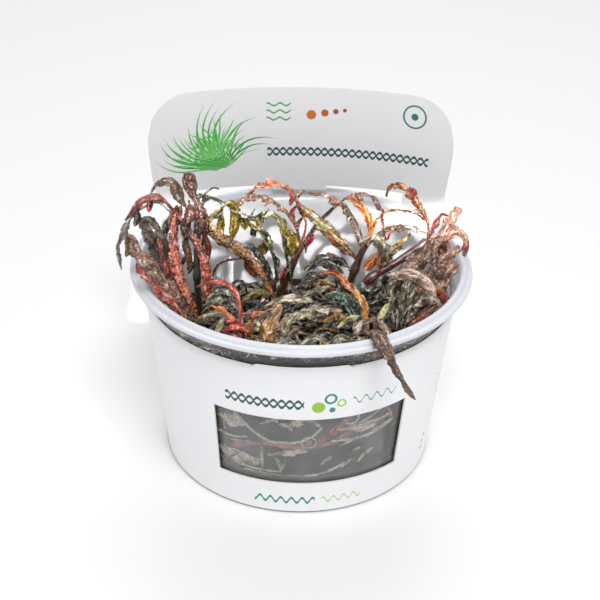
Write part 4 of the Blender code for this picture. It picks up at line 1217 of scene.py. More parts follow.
# The side parts: small leaves, buds and threads that belong to the piece named in the row above them
SIDE_PART_TABLE = """
left_leaf_2
rust lobe 2.5 0 front: -43.1 -8.2 85.6, -43 -7.7 82.9, -43.3 -8 80.2
left_leaf_3
olive lobe 3 0 front: -50.3 -4.2 70, -50 -4 66.1, -50.9 -4.5 63.7
grey_green lobe 2.6 0 front: -47.2 -4.8 79.3, -47 -4.8 76.5, -48 -5 74
left_leaf_5
dark_gloss strap 3.4 4 front: -38.1 2 75.5, -39.6 3 70.8, -40.7 4 66, -40.8 4 61.6, -40.1 3 57
left_leaf_8
olive_brown lobe 2.4 0 front: -33.1 -3 71.5, -33.8 -3 67, -32.9 -4 63.2
left_leaf_11
stalk_dark_leaf thread 0.7 0 up: -28.6 0 81.4, -28 0 82.4, -26.8 0 83.7, -25.5 1 84, -24 1 83.6
grey_green blunt 3.4 3 front_up: -29.7 2 72.3, -26.8 2 74.5, -23 3 75.8
left_leaf_10
stalk_brown thread 0.9 0 up: -26.2 -2 56.6, -24.5 -2 60.2, -22.3 -2 61.8, -19.7 -2 62.4, -16.2 -2.6 63.2
rose_brown lobe 3.4 0 front: -16.4 -2.8 62.4, -14.9 -2.8 59.8, -13 -2.9 57
left_leaf_8
dark_gloss strap 2.4 3 front: -34.8 -6 60.3, -34.2 -6 63.4, -32.8 -6 64.2, -31.7 -6 61.8, -32.8 -6 59.2
middle_leaf_4
olive oval 3 0 front: -18 6 73.2, -17.1 6 70.9, -16.8 6 67.9
grey_green strap 2.8 3 up: -12.8 5.6 69.8, -15.4 6 72.4, -18.4 5.4 74, -21.6 4.4 75.6
dark_gloss wrinkled 5 3 front: -10 8 74, -12.2 8 71.3, -14 8 68.9, -14.4 7 65.1
middle_leaf_5
olive oval 3.4 0 front: -11.4 2.6 66.2, -11.4 2.9 64, -11.5 3 60.8
middle_leaf_3
olive oval 4 0 front: -6.2 8.6 67.6, -4.2 9 65.3, -2.7 9 63, -1.5 9 60.2
olive lobe 2.8 0 front: -5.2 7.6 63, -3.7 8 60.6, -2.7 8 57.6
middle_stem
crimson lobe 3.4 0 front: -3.6 6 55.9, -5.7 4.4 53.6, -7.6 2.2 51.5, -9 1 48.6
middle_leaf_6
stalk_brown thread 0.8 0 up: 1 14.6 56, 2.1 16.5 60.1, 4.5 20 62, 6.9 21 64.8, 9.6 21 68.2
middle_leaf_8
stalk_brown thread 0.8 0 up: 12.2 15.2 73, 14.1 14 70.5, 16 13 67.8, 17.3 12.5 65, 18.4 11.8 61.6
grey_green lobe 1.6 0 front: 14.9 13.8 69.5, 13.7 13.5 68.5, 14 13.3 67.2
middle_leaf_7
stalk_brown thread 0.9 0 up: 10.4 8.6 64.4, 13.5 9.5 61.3, 15.6 10 58.8, 17.6 10.6 55.8
right_leaf_5
tangerine lobe 3.8 0 front_up: 23 2.2 63.4, 21 1.7 61.2, 18.6 0.8 58.2
right_leaf_3
amber lobe 1.9 0 front: 23 1.4 58.6, 23.4 1.9 61.6, 22.9 2.9 64.6, 20.6 3.9 65.2
right_leaf_4
stalk_red thread 0.8 0 up: 24 6.9 67, 24.9 5 66.4, 25.4 4 68, 26 4.5 69.9
right_leaf_2
stalk_red thread 0.9 0 up: 23.4 9.6 72.2, 23.7 8.4 69.6, 23.9 7 67.3
right_leaf_14
dark_gloss strap 2.8 3 front_up: 24 -6 54.6, 24.4 -6 59, 25.9 -6 61.2, 28.6 -6.5 61.9
right_leaf_11
grey_green strap 3.4 3 front: 37.2 -11.6 66.6, 39.6 -12 63.2, 41.4 -13 60.9, 42.3 -14 57.9
rust lobe 3.8 0 front_up: 37.3 -13.4 61.2, 39.4 -15 59.4, 41 -16 57.4
right_leaf_6
crimson lobe 2.6 0 front: 31.6 6 79.1, 32.1 6 81, 31.1 6 82.8
grey_brown lobe 1.8 0 front: 35 6.6 75.4, 33 6 75.2, 31.6 5.8 74.8
right_leaf_8
frost_pink lobe 3 0 front: 43 7 68.3, 44.2 7.5 72.1, 44.8 7.8 75.6
dark_red lobe 2 0 front: 47 4 69.6, 48.4 4 66.4, 48.2 4 62.8, 46.4 4 60.6
front_leaf_6
grey_brown lobe 3.4 0 up: 19.8 -35.6 63.6, 16.9 -37 64.2, 15.3 -38.5 63, 14.4 -39.4 60.6
grey_brown lobe 3 0 up: 20.5 -36.6 64.1, 22.4 -38.4 64.2, 23.8 -40 62.9, 24.3 -41.4 60.9
front_leaf_7
scarlet lobe 3 0 up: -14.1 -36 58.9, -16.3 -35.5 60.6, -18.7 -35.2 60.4, -21.2 -35.5 58.8
scarlet lobe 2.6 0 up: -16.3 -35.2 60.2, -17.4 -33.6 61.4, -20.2 -33.2 60.8
leaf_bed
dark_red lobe 2.4 0 up: -20 -36.2 58.6, -18 -37.2 58.8, -15.2 -37.6 57.6
olive strap 4 3 up: -17 -19.4 56.2, -15.4 -18 59.6, -13.2 -17 60.8, -11 -16 60, -9.2 -15.6 57.6
dark_gloss thread 0.9 0 up: -19.6 -14.2 60.2, -19 -14 61.6, -17.6 -14 62.3, -16.2 -13.5 61.2, -15.4 -13 57.6
grey_green wrinkled 3.6 4 up: -27.3 -20.6 56.8, -24.4 -19 61.3, -21.6 -18 61.4, -17.5 -18 58.4
grey_green wrinkled 3.4 4 up: -27.8 -22.6 56, -23.7 -21 59.9, -20.4 -20 59.3, -16.9 -20 56.4
frost_green oval 3.8 0 up: -29 -27.6 56.6, -26.7 -27 58.4, -23 -26 58.8, -19 -27 57.2
pale_bud lobe 2.2 0 front: -23.4 -33.2 55.4, -21.9 -32 58.2, -20.8 -31 60.5
pale_bud lobe 2.2 0 front_up: 10.3 -30.4 57.4, 13.2 -29 59.6, 16.4 -28 59.9
pale_bud lobe 2.8 0 front: 21.5 -26.2 56.2, 23.4 -24 59.1, 24.7 -23 61.3
slate_oval oval 4 0 up: -1.6 -40.6 56.4, 1.4 -40 59.4, 4.2 -39.5 60.6, 7.6 -40.2 59.6
slate_oval oval 4 0 up: 6.2 -41 56.6, 8.8 -40.6 59.8, 11.3 -39.6 60.8, 14.8 -39.7 59.4
slate_oval oval 4 0 front_up: -7.4 -41.2 56, -4.4 -41 58.4, -1 -40.6 58.8
amber lobed 2.4 5 up: 6.5 -27.4 57.2, 9.4 -26.5 59.1, 11.4 -26 58.9, 14.6 -27 58
fresh_green wrinkled 5 3 up: 12.6 -8 56.2, 16 -7.4 58, 20.4 -8.6 57.2
grey_brown wrinkled 3.8 4 up: 31.6 -20.6 58.6, 35.2 -19 61.3, 39.6 -20 60.4
left_leaf_9
mauve wrinkled 4.2 4 front 0 25: -33.8 -6 82.4, -35.1 -7 79.4, -36 -8 76.1, -35.7 -9 72.8
mauve wrinkled 4.8 5 front -15 20: -32 -6 83.4, -31.7 -8 80.7, -32.5 -9 77.4, -33.6 -10 74
mauve wrinkled 5 5 front 10 -20: -30.7 -5 83.6, -29.2 -7 80.9, -28.9 -8 77.6, -29.2 -9 73.6
mauve wrinkled 3.6 4 front 30 0: -29.3 -5 81.1, -27.6 -6 78.5, -27.3 -7 75.2, -28.1 -8 71.8
mauve wrinkled 3.2 3 front -30 0: -35.3 -8 82.8, -36.6 -9 80.4, -36.9 -10 77.8, -36.3 -11 75.1
left_leaf_1
dark_gloss lobe 1.8 0 front: -34.6 -3 81.5, -35.4 -3 84.7, -36.5 -3 85.3, -37.4 -3 83.7
left_leaf_8
chestnut strap 3 4 front 20 0: -32.6 -8 61.9, -32.6 -7 66.6, -33.2 -6 70.6
dark_red lobe 2.4 0 front: -27 -9 65.2, -26.7 -9 69.8, -27.7 -9 74.3
left_leaf_5
rose_brown wrinkled 3.8 5 front: -35.1 -14 55.3, -38.2 -10 61.2, -40.4 -6 67.1, -41.4 -4 69.9
left_leaf_12
olive oval 2.6 2 front: -23.4 4 76, -23.7 4 71.4, -24.4 4 65.7
middle_leaf_8
grey_brown lobe 1.6 0 front: 0.5 13 77.7, -0.9 13 77, -1.8 13 74.6
middle_leaf_2
crimson lobe 1.8 0 front: -1.8 17 73.9, -3.3 16 73.1, -3.8 15 71.6
ember lobe 2.2 0 front: -1.8 17 71.9, -0.5 16 70.5, 0.1 16 68.5
crimson lobe 1.8 0 front: -2 17 70.6, -3.2 16 68.7, -2.2 16 66.4
ember lobe 1.6 0 front: -0.1 16 67.1, -1.3 16 65, -1.6 15 63.5
middle_stem
crimson lobe 2 0 front: 1.3 13 58.8, 2.7 12 61.8, 3.3 12 63.9
right_leaf_8
speckled wrinkled 3.4 4 front: 39.8 6 66.1, 42.4 4 64.9, 44.2 2 63.1
speckled wrinkled 3 3 front 20 0: 40.6 6 67.5, 43.5 6 68.2, 45.6 6 70.9
speckled wrinkled 3.8 4 front -20 0: 39.5 5 65.6, 40.9 2 63.6, 41.7 -1 61.3
pleated_brown wrinkled 4.2 4 front 0 20: 38.8 5 66.6, 38.7 1 64.8, 37.5 -2 62.4
pleated_brown ribbed 7 5 front_up 0 10: 37.8 3 67.3, 35.7 0 64.6, 32.2 -3 62.5, 28.9 -6 60.5
right_leaf_13
fan_grey ribbed 2.8 3 front: 26.5 -24 53.9, 25.4 -22 58.6, 25.9 -20 62.9
fan_grey ribbed 3.2 3 front 10 0: 27.3 -24 53.9, 28 -21 59.4, 28.9 -19 64.4
fan_grey ribbed 3.4 3 front: 28.1 -24 53.9, 30.3 -20 58.8, 32.4 -17 63.6
fan_grey ribbed 3.4 3 front 0 15: 29.2 -24 54.6, 32.6 -20 58.2, 35.7 -17 61.4
chestnut ribbed 3.6 3 front_up: 30.3 -24 54.7, 35 -20 56.3, 38.9 -18 58.5
fan_grey ribbed 3.4 3 front: 25.9 -18 59.5, 25.2 -16 62.5, 27.1 -15 64.6
right_leaf_12
rust lobe 3.6 0 front: 41 -19 59.5, 39.8 -18.5 61.8, 38.3 -18 63.7
front_leaf_6
grey_brown lobe 3.6 0 up: 19.6 -38 59.3, 17.3 -36 61.8, 15.7 -36 63, 14.3 -38 61.7
grey_brown lobe 3.6 0 up: 20.7 -37 60, 22.7 -37 62.6, 24.3 -39 62
brown_spotted lobe 3.8 0 up: 20.1 -36 60.6, 21.1 -35 62.9, 22.7 -35 63.9
grey_brown lobe 3.2 0 up: 19 -40 59.6, 16.8 -40 60.5, 15.4 -40 61.1
right_leaf_5
ember lobe 2.2 0 front: 22.5 -2 59.3, 22.6 -1 62.8, 22.8 0 65.9
leaf_bed
ribbed_beige ribbed 3.6 4 front_up: -10.4 -14 53.7, -6.5 -12 54.6, -1 -11 55.2, 3.6 -11 54.3
frost_green wrinkled 3.2 4 front_up: -0.2 -8 53.7, 4.5 -6 54.7, 8.8 -5 55.6
beige_gold wrinkled 2.8 4 front_up: 2.1 0 53.5, 5.9 0 55, 9.7 -2 54.6
olive oval 3 0 front_up: -16.8 -8 51.6, -14.2 -6 52.8, -11.3 -5 53.3, -9 -6 52.6
plum strap 2.2 3 front: -13.9 -20 53.6, -11.9 -14 54, -9.5 -9 54.4
grey_brown strap 3.2 3 front_up: -27.4 -22 55.1, -23.8 -21 55.9, -19.8 -22 55
frost_green wrinkled 2.6 4 front_up: -26.7 -12 54.4, -24 -9 55, -19.9 -9 53.4
dark_gloss glossy 2.8 4 front_up: -24.8 -14 53.6, -21.5 -11 53.9, -18 -13 53.2
plum ribbed 2.6 3 front: -13.8 -36 56.4, -13.6 -28 55.3, -12.4 -22 54.9
ribbed_beige ribbed 3 3 front_up: 1.7 -27 55.7, 5 -22 55.4, 9.6 -22 54.8
ribbed_beige ribbed 3.4 4 front_up: 0.5 -20 54, 4.5 -16 54.7, 8.5 -16 54.1
frost_pink ribbed 2.2 3 front 20 0: -3.7 -37.5 57, -2.1 -33 56.8, 0 -29 56.6
fresh_green oval 3.4 0 front_up: 15.6 -8 52.5, 18 -4 53.2, 20.4 -1 53.6
dark_gloss ribbed 2.6 4 front_up: 19.1 -8 53.3, 22.1 -4 54.4, 26.1 -3 55.9
dark_gloss ribbed 2.6 4 front_up: 18.9 -12 53.6, 23.1 -9 54, 27.2 -8 54.2
fan_grey ribbed 2.4 4 front_up: 18.5 -6 53.4, 21.6 0 54.1, 24.6 2 54.7
chestnut ribbed 3 4 front_up: 30.8 -18 52.3, 35.5 -16 52.9, 40.2 -13 53.5
olive_brown lobed 2.4 5 front_up: 9.5 -24 55.4, 12.4 -22 55.2, 16.1 -22 55
scarlet lobe 2.4 0 up: -16.4 -32 57, -14.8 -31 57.8, -13.9 -33 57.4
scarlet lobe 2 0 up: -17.5 -32 56.7, -18.7 -31 58, -20 -32 57.6
dark_gloss wrinkled 4 4 front_up: -0.8 -2 53.9, 3.2 0 56.3, 7.9 0 56.7
right_stem
dark_gloss glossy 4.4 5 front_up: 15.2 6 54.5, 12.1 6 57.9, 7.9 6 59.1, 4.3 5 58.2, 0.8 3 56.2
leaf_bed
fan_grey ribbed 5 4 front_up: 28.3 -12 51.9, 29.7 -8 54.9, 31.1 -5 58.3
grey_green ribbed 4 4 front_up: 32.9 -12 51.3, 34.5 -8 53.7, 35.5 -6 56.9
dark_gloss ribbed 3.8 3 front_up: 25.6 -6 51.6, 27.7 -2 54, 30.1 1 56.1
rose_brown ribbed 3 3 front_up: 36.1 -16 52.5, 37.6 -12 54.9, 39.1 -9 57.1
"""


def read_places(text):
    """Places that are written as numbers, with commas between them."""
    return [tuple(map(float, place.split())) for place in text.split(",")]


def read_blade(text):
    """The values of a row that describes a blade, in the order in which add_blade takes them."""
    head, route = text.split(":")
    kind, form, width, lobes, face, *numbers = head.split()
    foot_turn, tip_turn, *stalk = map(float, numbers or (0, 0))
    turn = (foot_turn, tip_turn)
    return [kind, form, float(width), int(lobes), FACES[face], turn, read_places(route), *stalk]


def read_side_parts():
    """The side parts, each with the name of the piece that it belongs to."""
    parts = []
    for row in table_rows(SIDE_PART_TABLE):
        if ":" in row:
            parts.append((owner, read_blade(row)))
        else:
            owner = row
    return parts


SIDE_PARTS = read_side_parts()

# Stems: slot, colours, radius at the foot and at the top, joints, and the axis as in the solid
STEMS = {
    "left_stem": ("stem_dark", "stalk_dark", 1.15, 0.85, (0.45, 0.72, 0.9),
                  "-26 -9 13, -28 -10 30, -29 -9 45, -30 -8 58, -30 -6 78"),
    "middle_stem": ("stem_dark", "stalk_russet", 1.5, 1.1, (0.5, 0.78, 0.98),
                    "-4 5 13, -6 7 32, -6 8 45, -3 11 53, 0 14 60"),
    "right_stem": ("stem_dark", "stalk_russet", 1.4, 1.0, (0.5, 0.8, 0.98),
                   "11 5 13, 13 6 32, 14 7 46, 17 10 56, 20 12 63"),
    "red_stem": ("stem_red", "stalk_crimson", 1.5, 1.05, (0.48, 0.7, 0.99),
                 "10 -9 13, 11 -8 30, 13 -4 46, 19 -1 55, 28 2 60.5, 37 7 65"),
    "creeping_stem": ("stem_red", "stalk_pressed", 1.4, 1.1, (0.3, 0.5, 0.75),
                      "-27 -19 13.6, -20 -31.5 19, -9 -37.4 23.8, 2 -38.5 23.4, 10 -37.2 24.6, "
                      "16 -34.8 29, 20 -30 40"),
}
# Colours of each stem's streaks, from darkest to lightest. The streaks are the skin's own lines, and the
# lightest of them are painted highlights.
STEM_COLOURS = {
    "stalk_dark": "1c140c 34241a 4a2c1c 6a4a34",
    "stalk_pressed": "8a3430 b04a42 c4605a d88a80",
    "stalk_russet": "24140c 44261a 5c3020 8a5236",
    "stalk_crimson": "340e10 58181a 6c201c 9a4a40",
}


@functools.cache
def stem_material(kind):
    """A stem's skin: streaks along it, whose lightest parts are painted highlights, lighter patches and a
    soft sheen.
    """
    low, middle, high, light = STEM_COLOURS[kind].split()
    paint = Paint("skin_" + kind, Roughness=0.2, Specular_IOR_Level=0.9, Coat_Weight=0.5,
                  Coat_Roughness=0.08, Coat_IOR=1.7)
    grain = paint.uv(GRAIN_MAP)
    run, side, _ = paint.split(grain)
    streaks = paint.noise(paint.join(paint.times(run, 0.25), paint.times(side, 1.6)), 1.2)
    # The palest end of this ramp, on the highest streaks, is a painted highlight.
    colour = paint.ramp(paint.step(streaks, 0.34, 0.66), [low, low, middle, high, light])
    patches = paint.noise(grain, 0.3)
    paint.set("Base Color", paint.mix(paint.step(patches, 0.5, 0.65), colour, linear(high)))
    paint.bump(streaks, 0.8, 0.4)
    return paint.material


def bed_height(x, y):
    """The top of the leaf tangle, as in its solid."""
    fall = 0.31 * y + 0.1 * math.hypot(y, 8.0)
    lumps = 0.7 * math.sin(0.29 * x + 0.7) * math.cos(0.25 * y) + 0.5 * math.sin(0.17 * x - 0.3 * y)
    return BED_CENTRE - fall + lumps


def add_side_parts(build, owner):
    for seed, (held_by, blade) in enumerate(SIDE_PARTS, start=SIDE_PART_SEED):
        if held_by == owner:
            add_blade(build, seed, *blade)


def make_leaves():
    """Each leaf, with its side parts in the same piece."""
    frame_slots = {part["node"]: part["material_slot"] for part in frame["record"]["subparts"]}
    for seed, row in enumerate(table_rows(LEAF_TABLE), start=LEAF_SEED):
        name, text = row.split(" ", 1)
        blade = read_blade(text)
        route = blade[6]
        if len(route[0]) == 2:
            route[0] += (bed_height(*route[0]) - ROOT_DEPTH,)
        build = Build()
        add_blade(build, seed, *blade)
        add_side_parts(build, name)
        build.piece(name + "_blade", frame_slots[name], name)


def make_stems():
    for seed, (name, details) in enumerate(STEMS.items(), start=STEM_SEED):
        slot, kind, foot_radius, top_radius, nodes, axis = details
        build = Build()
        material = stem_material(kind)
        add_tube(build, material, read_places(axis), foot_radius, top_radius, STEM_SIDES, seed, nodes)
        add_side_parts(build, name)
        build.piece(name + "_skin", slot, name)


# The tangle

# Kinds and forms with how often each is drawn
TANGLE_KINDS = {"grey_green": 0.16, "dark_gloss": 0.2, "olive_brown": 0.09, "grey_brown": 0.17,
                "ribbed_beige": 0.13, "ash_brown": 0.04, "pale_bud": 0.03, "rose_brown": 0.04,
                "frost_green": 0.08, "plum": 0.06}
TANGLE_FORMS = {"wrinkled": 0.45, "strap": 0.35, "glossy": 0.12, "oval": 0.08}
PRESSED_KINDS = {"grey_brown": 0.3, "olive_brown": 0.2, "dark_gloss": 0.3, "pleated_brown": 0.2}

# How many shoots there are, how far out and how deep, past which depth a shoot takes the darkest kind
# as painted shade, and where pressed leaves leave the window clear
SHOOTS = 104
SHOOT_REACH = 38.5
GOLDEN_ANGLE = 2.399963
SHADED_SHOOT_DEPTH = 2.8
SHORTEST_LEAF = 3.5
PRESSED_LEAVES = 70
CLEAR_HALF_ANGLE = 42.0
WALL_BEND_RADIUS = 42.0
CORE_SUNK = 5.0
CORE_INSET = 1.6
CORE_ROUND = 40.0
SHOOT_INSET = 2.0
FLANGE_FOOT = 58.0
CLEAR_BOTTOM = 15.0
CLEAR_TOP = 40.0
CLEAR_LIFT = 26.0
LOWEST_PRESSED = 13.6


# A near-black body that stands in for the deep shade inside the tangle: painted shade.
def shade_core_material():
    paint = Paint("tangle_shade_core", Roughness=0.6)
    tone = paint.noise(paint.place_mm(), 0.35, detail=5.0)
    paint.set("Base Color", paint.ramp(tone, ("060504", "100e08", "1c1a12")))
    paint.bump(tone, 0.8, 1.5)
    return paint.material


def add_core(build):
    """A lumpy body some way under the tangle's leaves, near-black: painted shade for the tangle's depths.
    """
    rng = np.random.default_rng(CORE_SEED)
    angles = np.linspace(0.0, TURN, CORE_SIDES, endpoint=False)
    foot = MEDIUM_TOP + GAP
    points = [(0.0, 0.0, foot)]
    for share, height in ((0.93, foot), (0.95, 16.0), (0.95, 24.0), (0.95, 32.0)):
        wobble = 1.0 + 0.012 * ripple(np.full(CORE_SIDES, height), angles * CORE_ROUND, rng, 9.0)
        points += ring_points((inner_wall(height) - CORE_INSET) * share / 0.95 * wobble, height, angles)
    for share in (0.93, 0.84, 0.72, 0.58, 0.44, 0.3, 0.15):
        around = angles * CORE_ROUND * share
        lumps = 1.3 * ripple(np.full(CORE_SIDES, share * CORE_ROUND), around, rng, 8.0)
        for (x, y, _), lump in zip(ring_points(BED_RADIUS * share, 0.0, angles), lumps):
            points.append((x, y, bed_height(x, y) - CORE_SUNK + lump))
    top = len(points)
    points.append((0.0, 0.0, bed_height(0.0, 0.0) - CORE_SUNK))
    faces = []
    for side in range(CORE_SIDES):
        here = 1 + side
        there = 1 + (side + 1) % CORE_SIDES
        last = top - CORE_SIDES - 1
        faces += [(0, there, here), (top, last + here, last + there)]
        for low in range(0, last, CORE_SIDES):
            up = low + CORE_SIDES
            faces.append((low + here, low + there, up + there, up + here))
    places = [(0.0, 0.0)] * sum(len(face) for face in faces)
    build.add(points, faces, places, places, shade_core_material())


def choose(rng, table):
    """One name of a table, drawn by its weight."""
    weights = np.array(list(table.values()))
    return list(table)[int(rng.choice(len(table), p=weights / weights.sum()))]


def add_shoot(build, x, y, rng, seed):
    """One small shoot of the tangle: a few leaves that rise from a point, spread and droop."""
    kind = choose(rng, TANGLE_KINDS)
    start = rng.uniform(0.0, TURN)
    leaves = int(rng.integers(3, 6))
    deep = rng.uniform(1.0, 4.2)
    # A shoot deep in the tangle takes the darkest kind, as painted shade.
    if deep > SHADED_SHOOT_DEPTH:
        kind = "dark_gloss"
    for leaf in range(leaves):
        heading = start + TURN * leaf / leaves + rng.uniform(-0.5, 0.5)
        length = rng.uniform(7.0, 15.0)
        width = rng.uniform(1.5, 4.0)
        lift = rng.uniform(0.8, 3.0)
        droop = rng.uniform(0.3, 2.6)
        route = []
        for share, rise in ((0.0, -1.2), (0.3, 0.7 * lift), (0.65, 0.85 * lift), (1.0, lift - droop)):
            sway = 1.4 * math.sin(2.6 * share + seed + leaf)
            spot_x = x + math.cos(heading) * length * share - math.sin(heading) * sway
            spot_y = y + math.sin(heading) * length * share + math.cos(heading) * sway
            spot_z = bed_height(spot_x, spot_y) - deep + rise
            most = inner_wall(min(spot_z, FLANGE_FOOT)) - SHOOT_INSET
            from_axis = math.hypot(spot_x, spot_y)
            if from_axis > most:
                spot_x *= most / from_axis
                spot_y *= most / from_axis
            route.append((spot_x, spot_y, min(spot_z, bed_height(spot_x, spot_y) + 1.2)))
        if np.linalg.norm(np.array(route[0]) - np.array(route[-1])) < SHORTEST_LEAF:
            continue
        leaf_kind = kind if rng.uniform() < 0.75 else choose(rng, TANGLE_KINDS)
        form = choose(rng, TANGLE_FORMS)
        face = (rng.uniform(-0.5, 0.5), rng.uniform(-0.7, 0.2), 1.0)
        turn = (rng.uniform(-30, 30), rng.uniform(-50, 50))
        lobes = int(rng.integers(3, 7))
        add_blade(build, seed * 10 + leaf, leaf_kind, form, width, lobes, face, turn, route,
                  step=SMALL_STEP, columns=SMALL_COLUMNS)


def add_tangle(build, front):
    """The shoots that lie over each other on top of the tangle, in its front or its back half."""
    rng = np.random.default_rng(TANGLE_SEED)
    for index in range(SHOOTS):
        angle = index * GOLDEN_ANGLE
        reach = SHOOT_REACH * math.sqrt((index + 0.5) / SHOOTS)
        x = reach * math.cos(angle) + rng.uniform(-1.5, 1.5)
        y = reach * math.sin(angle) + rng.uniform(-1.5, 1.5)
        own = np.random.default_rng(SHOOT_DRAW_SEED + index)
        if (y < 0.0) == front:
            add_shoot(build, x, y, own, SHOOT_SEED + index)


def wall_point(angle, height, inset):
    """A point just inside the cup's wall. The angle is in degrees from the front towards +X."""
    reach = inner_wall(height) - inset
    return (reach * math.sin(math.radians(angle)), -reach * math.cos(math.radians(angle)), height)


def wall_face(angle):
    """The direction out through the wall, a little upward, at an angle in radians."""
    return (math.sin(angle), -math.cos(angle), 0.1)


def add_pressed(build):
    """Leaves pressed flat against the wall all around, below the tangle's top."""
    rng = np.random.default_rng(PRESSED_PLACE_SEED)
    for index in range(PRESSED_LEAVES):
        angle = index * 360.0 / PRESSED_LEAVES + rng.uniform(-4.0, 4.0)
        height = rng.uniform(15.0, 50.0)
        if CLEAR_BOTTOM < height < CLEAR_TOP and min(angle, 360.0 - angle) < CLEAR_HALF_ANGLE:
            height += CLEAR_LIFT
        top = bed_height(*wall_point(angle, height, 2.0)[:2]) - 1.0
        if height > top - 4.0:
            height = top - rng.uniform(3.0, 9.0)
        pitch = rng.uniform(-1.0, 1.0)
        length = rng.uniform(9.0, 20.0)
        route = []
        for share in (0.0, 0.33, 0.67, 1.0):
            turned = angle + math.degrees(length * share * math.cos(pitch) / WALL_BEND_RADIUS)
            level = height + length * (share - 0.5) * math.sin(pitch) + 0.8 * math.sin(5.0 * share)
            level = min(max(level, LOWEST_PRESSED), top)
            route.append(wall_point(turned, level, 1.5 + 0.5 * math.sin(3.1 * share + index)))
        middle = math.radians(angle + math.degrees(length * 0.5 * math.cos(pitch) / WALL_BEND_RADIUS))
        kind = choose(rng, PRESSED_KINDS)
        width = rng.uniform(3.0, 6.0)
        add_blade(build, PRESSED_SEED + index, kind, "wrinkled", width, 4, wall_face(middle), (0, 0), route,
                  step=SMALL_STEP, columns=SMALL_COLUMNS)


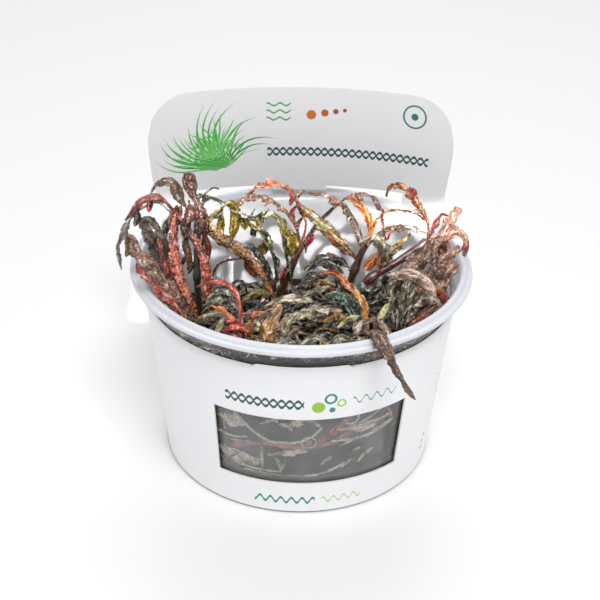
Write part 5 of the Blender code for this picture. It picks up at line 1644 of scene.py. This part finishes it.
# What shows in the window, just inside the wall: kind, form, width, inset and places as angle and height
WINDOW_TABLE = """
root_white thread 0.9 0.8: -25.5 33.6, -20.4 30, -16 27.4, -11.2 25.6, -5 25.3, 1 26, 6 28, 9.4 31
root_white thread 0.9 0.9: -40 26, -36.2 25.2, -30.8 24.4, -25.9 24.4, -20.5 25.4
frost_pink thread 1.1 1.2: -40 21.6, -34.2 22, -27.8 22.8, -20.9 23.4, -13.5 24
root_white thread 0.8 0.9: 13.8 25.6, 19.8 25.4, 26.1 25.1, 31.8 25.5, 38 26.8
root_white thread 0.6 0.9: 20.6 30.3, 26.1 31, 31.5 32.7, 39.3 35.4
root_white thread 0.6 0.8: 22.8 34.6, 24.2 33.6, 23.8 32, 21.6 31.2, 19 31.6
root_white thread 0.6 0.8: -26.8 14.6, -20.3 14.2, -12.3 14, -6.2 14.2
root_white thread 0.9 0.8: -22.4 12.8, -12.8 12.6, -3.9 12.5, 6.2 13, 14 14.4, 20.1 16.6
root_white thread 0.35 0.5: 1.6 26, 3 27.6, 5.2 27.8, 7.4 26.6, 7.4 25, 5.4 23.9, 3 24.2, 1.6 25.9
root_white thread 0.3 0.5: 3.6 26, 4.8 26.5, 5.6 25.8, 4.8 25.2, 3.7 25.8
stalk_brown thread 0.6 0.8: -28.4 15.9, -24 18.6, -19.3 21.8
stalk_brown thread 0.6 0.8: -36.2 17, -33.6 15.4, -31.4 13.2
pale_bud lobe 1.2 0.9: -14.4 23, -14.5 19.1, -14.2 14.9
pressed_beige oval 9.5 1.3: -38.5 18.4, -32 18, -25 17.4, -15.2 16.4
pressed_beige oval 8 1.4: -35 30, -30 30.4, -26 30.2, -21 29.6
pressed_beige oval 5 1.5: 17 29, 24 28.6, 31 28.6, 40 29.8
pressed_beige blunt 4.4 1.3: -12 19.6, -6 20.8, 0 21.6, 3.5 23
pressed_green lobe 2.2 0.9: -8.6 19.2, -7.4 16.8, -6 14.6
pressed_green lobe 1.6 0.9: -4 19, -5.4 16.6, -6.2 14.6
tangerine strap 3.2 1.2: 14.6 27.6, 17.6 30.4, 20.8 33, 22.6 36.6
scarlet strap 3.6 1.1: 4.6 24.4, 9.6 26, 14 28.4, 17.6 31.6
rose_brown strap 3.6 1.2: -39 34.6, -37.6 31.4, -37 27
amber lobe 1.8 1.1: -33.6 31.4, -31.4 28.6, -30.6 25.6
rose_brown strap 4.4 1.4: 36.6 35.6, 39.6 31.6, 42.7 26.9
pale_bud lobe 2 1: 28.6 24.2, 33.3 25.7, 38 26.4, 42 27.6
pressed_green lobe 1.4 1: 17.3 23.4, 20 23.8, 23.4 24.6
pressed_green blunt 2 1: 10.1 17.2, 12 18.2, 14.7 19.6
pale_bud lobe 1.4 1: 22.1 19.2, 24 20, 26.7 21
root_white lobe 1.2 1: 19 15, 21 15.8, 23.6 17.2
pressed_beige strap 2 1.1: 26 15.6, 29 17, 33.6 19.2
pressed_beige wrinkled 5 1.6: -15 31, -10 32.6, -3 31.4, 4 33.4, 9 31
frost_pink wrinkled 3.4 1.5: -12 35.4, -4 35, 4 35.8, 12 34.6
olive_brown wrinkled 6 2.6: 2 17.6, 10 19.4, 18 20, 27 19
dark_gloss wrinkled 7 2.4: -24 23.4, -16 21.4, -8 18, -2 14.4
olive_brown wrinkled 6.4 2.6: 20 18.4, 28 21.4, 34 20.4, 42 19
grey_brown wrinkled 6.4 2.8: -30 24.4, -24 28.4, -16 29.4, -6 28
"""


def add_window_parts(build):
    for seed, row in enumerate(table_rows(WINDOW_TABLE), start=WINDOW_SEED):
        head, run = row.split(":")
        kind, form, width, inset = head.split()
        spots = read_places(run)
        route = [wall_point(angle, height, float(inset)) for angle, height in spots]
        middle = math.radians(sum(angle for angle, _ in spots) / len(spots))
        lobes = 4 if form in ("wrinkled", "strap") else 0
        add_blade(build, seed, kind, form, float(width), lobes, wall_face(middle), (0, 0), route)


def make_tangle():
    core = Build()
    add_core(core)
    add_side_parts(core, "leaf_bed")
    core.piece("tangle_shade_core", "leaf_green", "leaf_bed")
    for name, front in (("tangle_front_leaves", True), ("tangle_back_leaves", False)):
        leaves = Build()
        add_tangle(leaves, front)
        leaves.piece(name, "leaf_green", "leaf_bed")
    pressed = Build()
    add_pressed(pressed)
    add_window_parts(pressed)
    pressed.piece("pressed_leaves", "leaf_green", "leaf_bed")


def finish_medium():
    """The gel keeps its solid and gets a cloudy tan finish."""
    paint = Paint("cloudy_gel", Roughness=0.12, IOR=1.34, Transmission_Weight=0.35)
    cloud = paint.noise(paint.place_mm(), 0.12, detail=4.0)
    paint.set("Base Color", paint.ramp(cloud, ("5a5040", "8a7f6a", "a89e88")))
    paint.bump(cloud, 0.3, 0.6)
    medium = frame["nodes"]["growth_medium"]
    medium.data.materials.clear()
    medium.data.materials.append(paint.material)


make_camera()
make_stage()
make_cup()
make_sleeve()
finish_medium()
make_stems()
make_leaves()
make_tangle()

import json
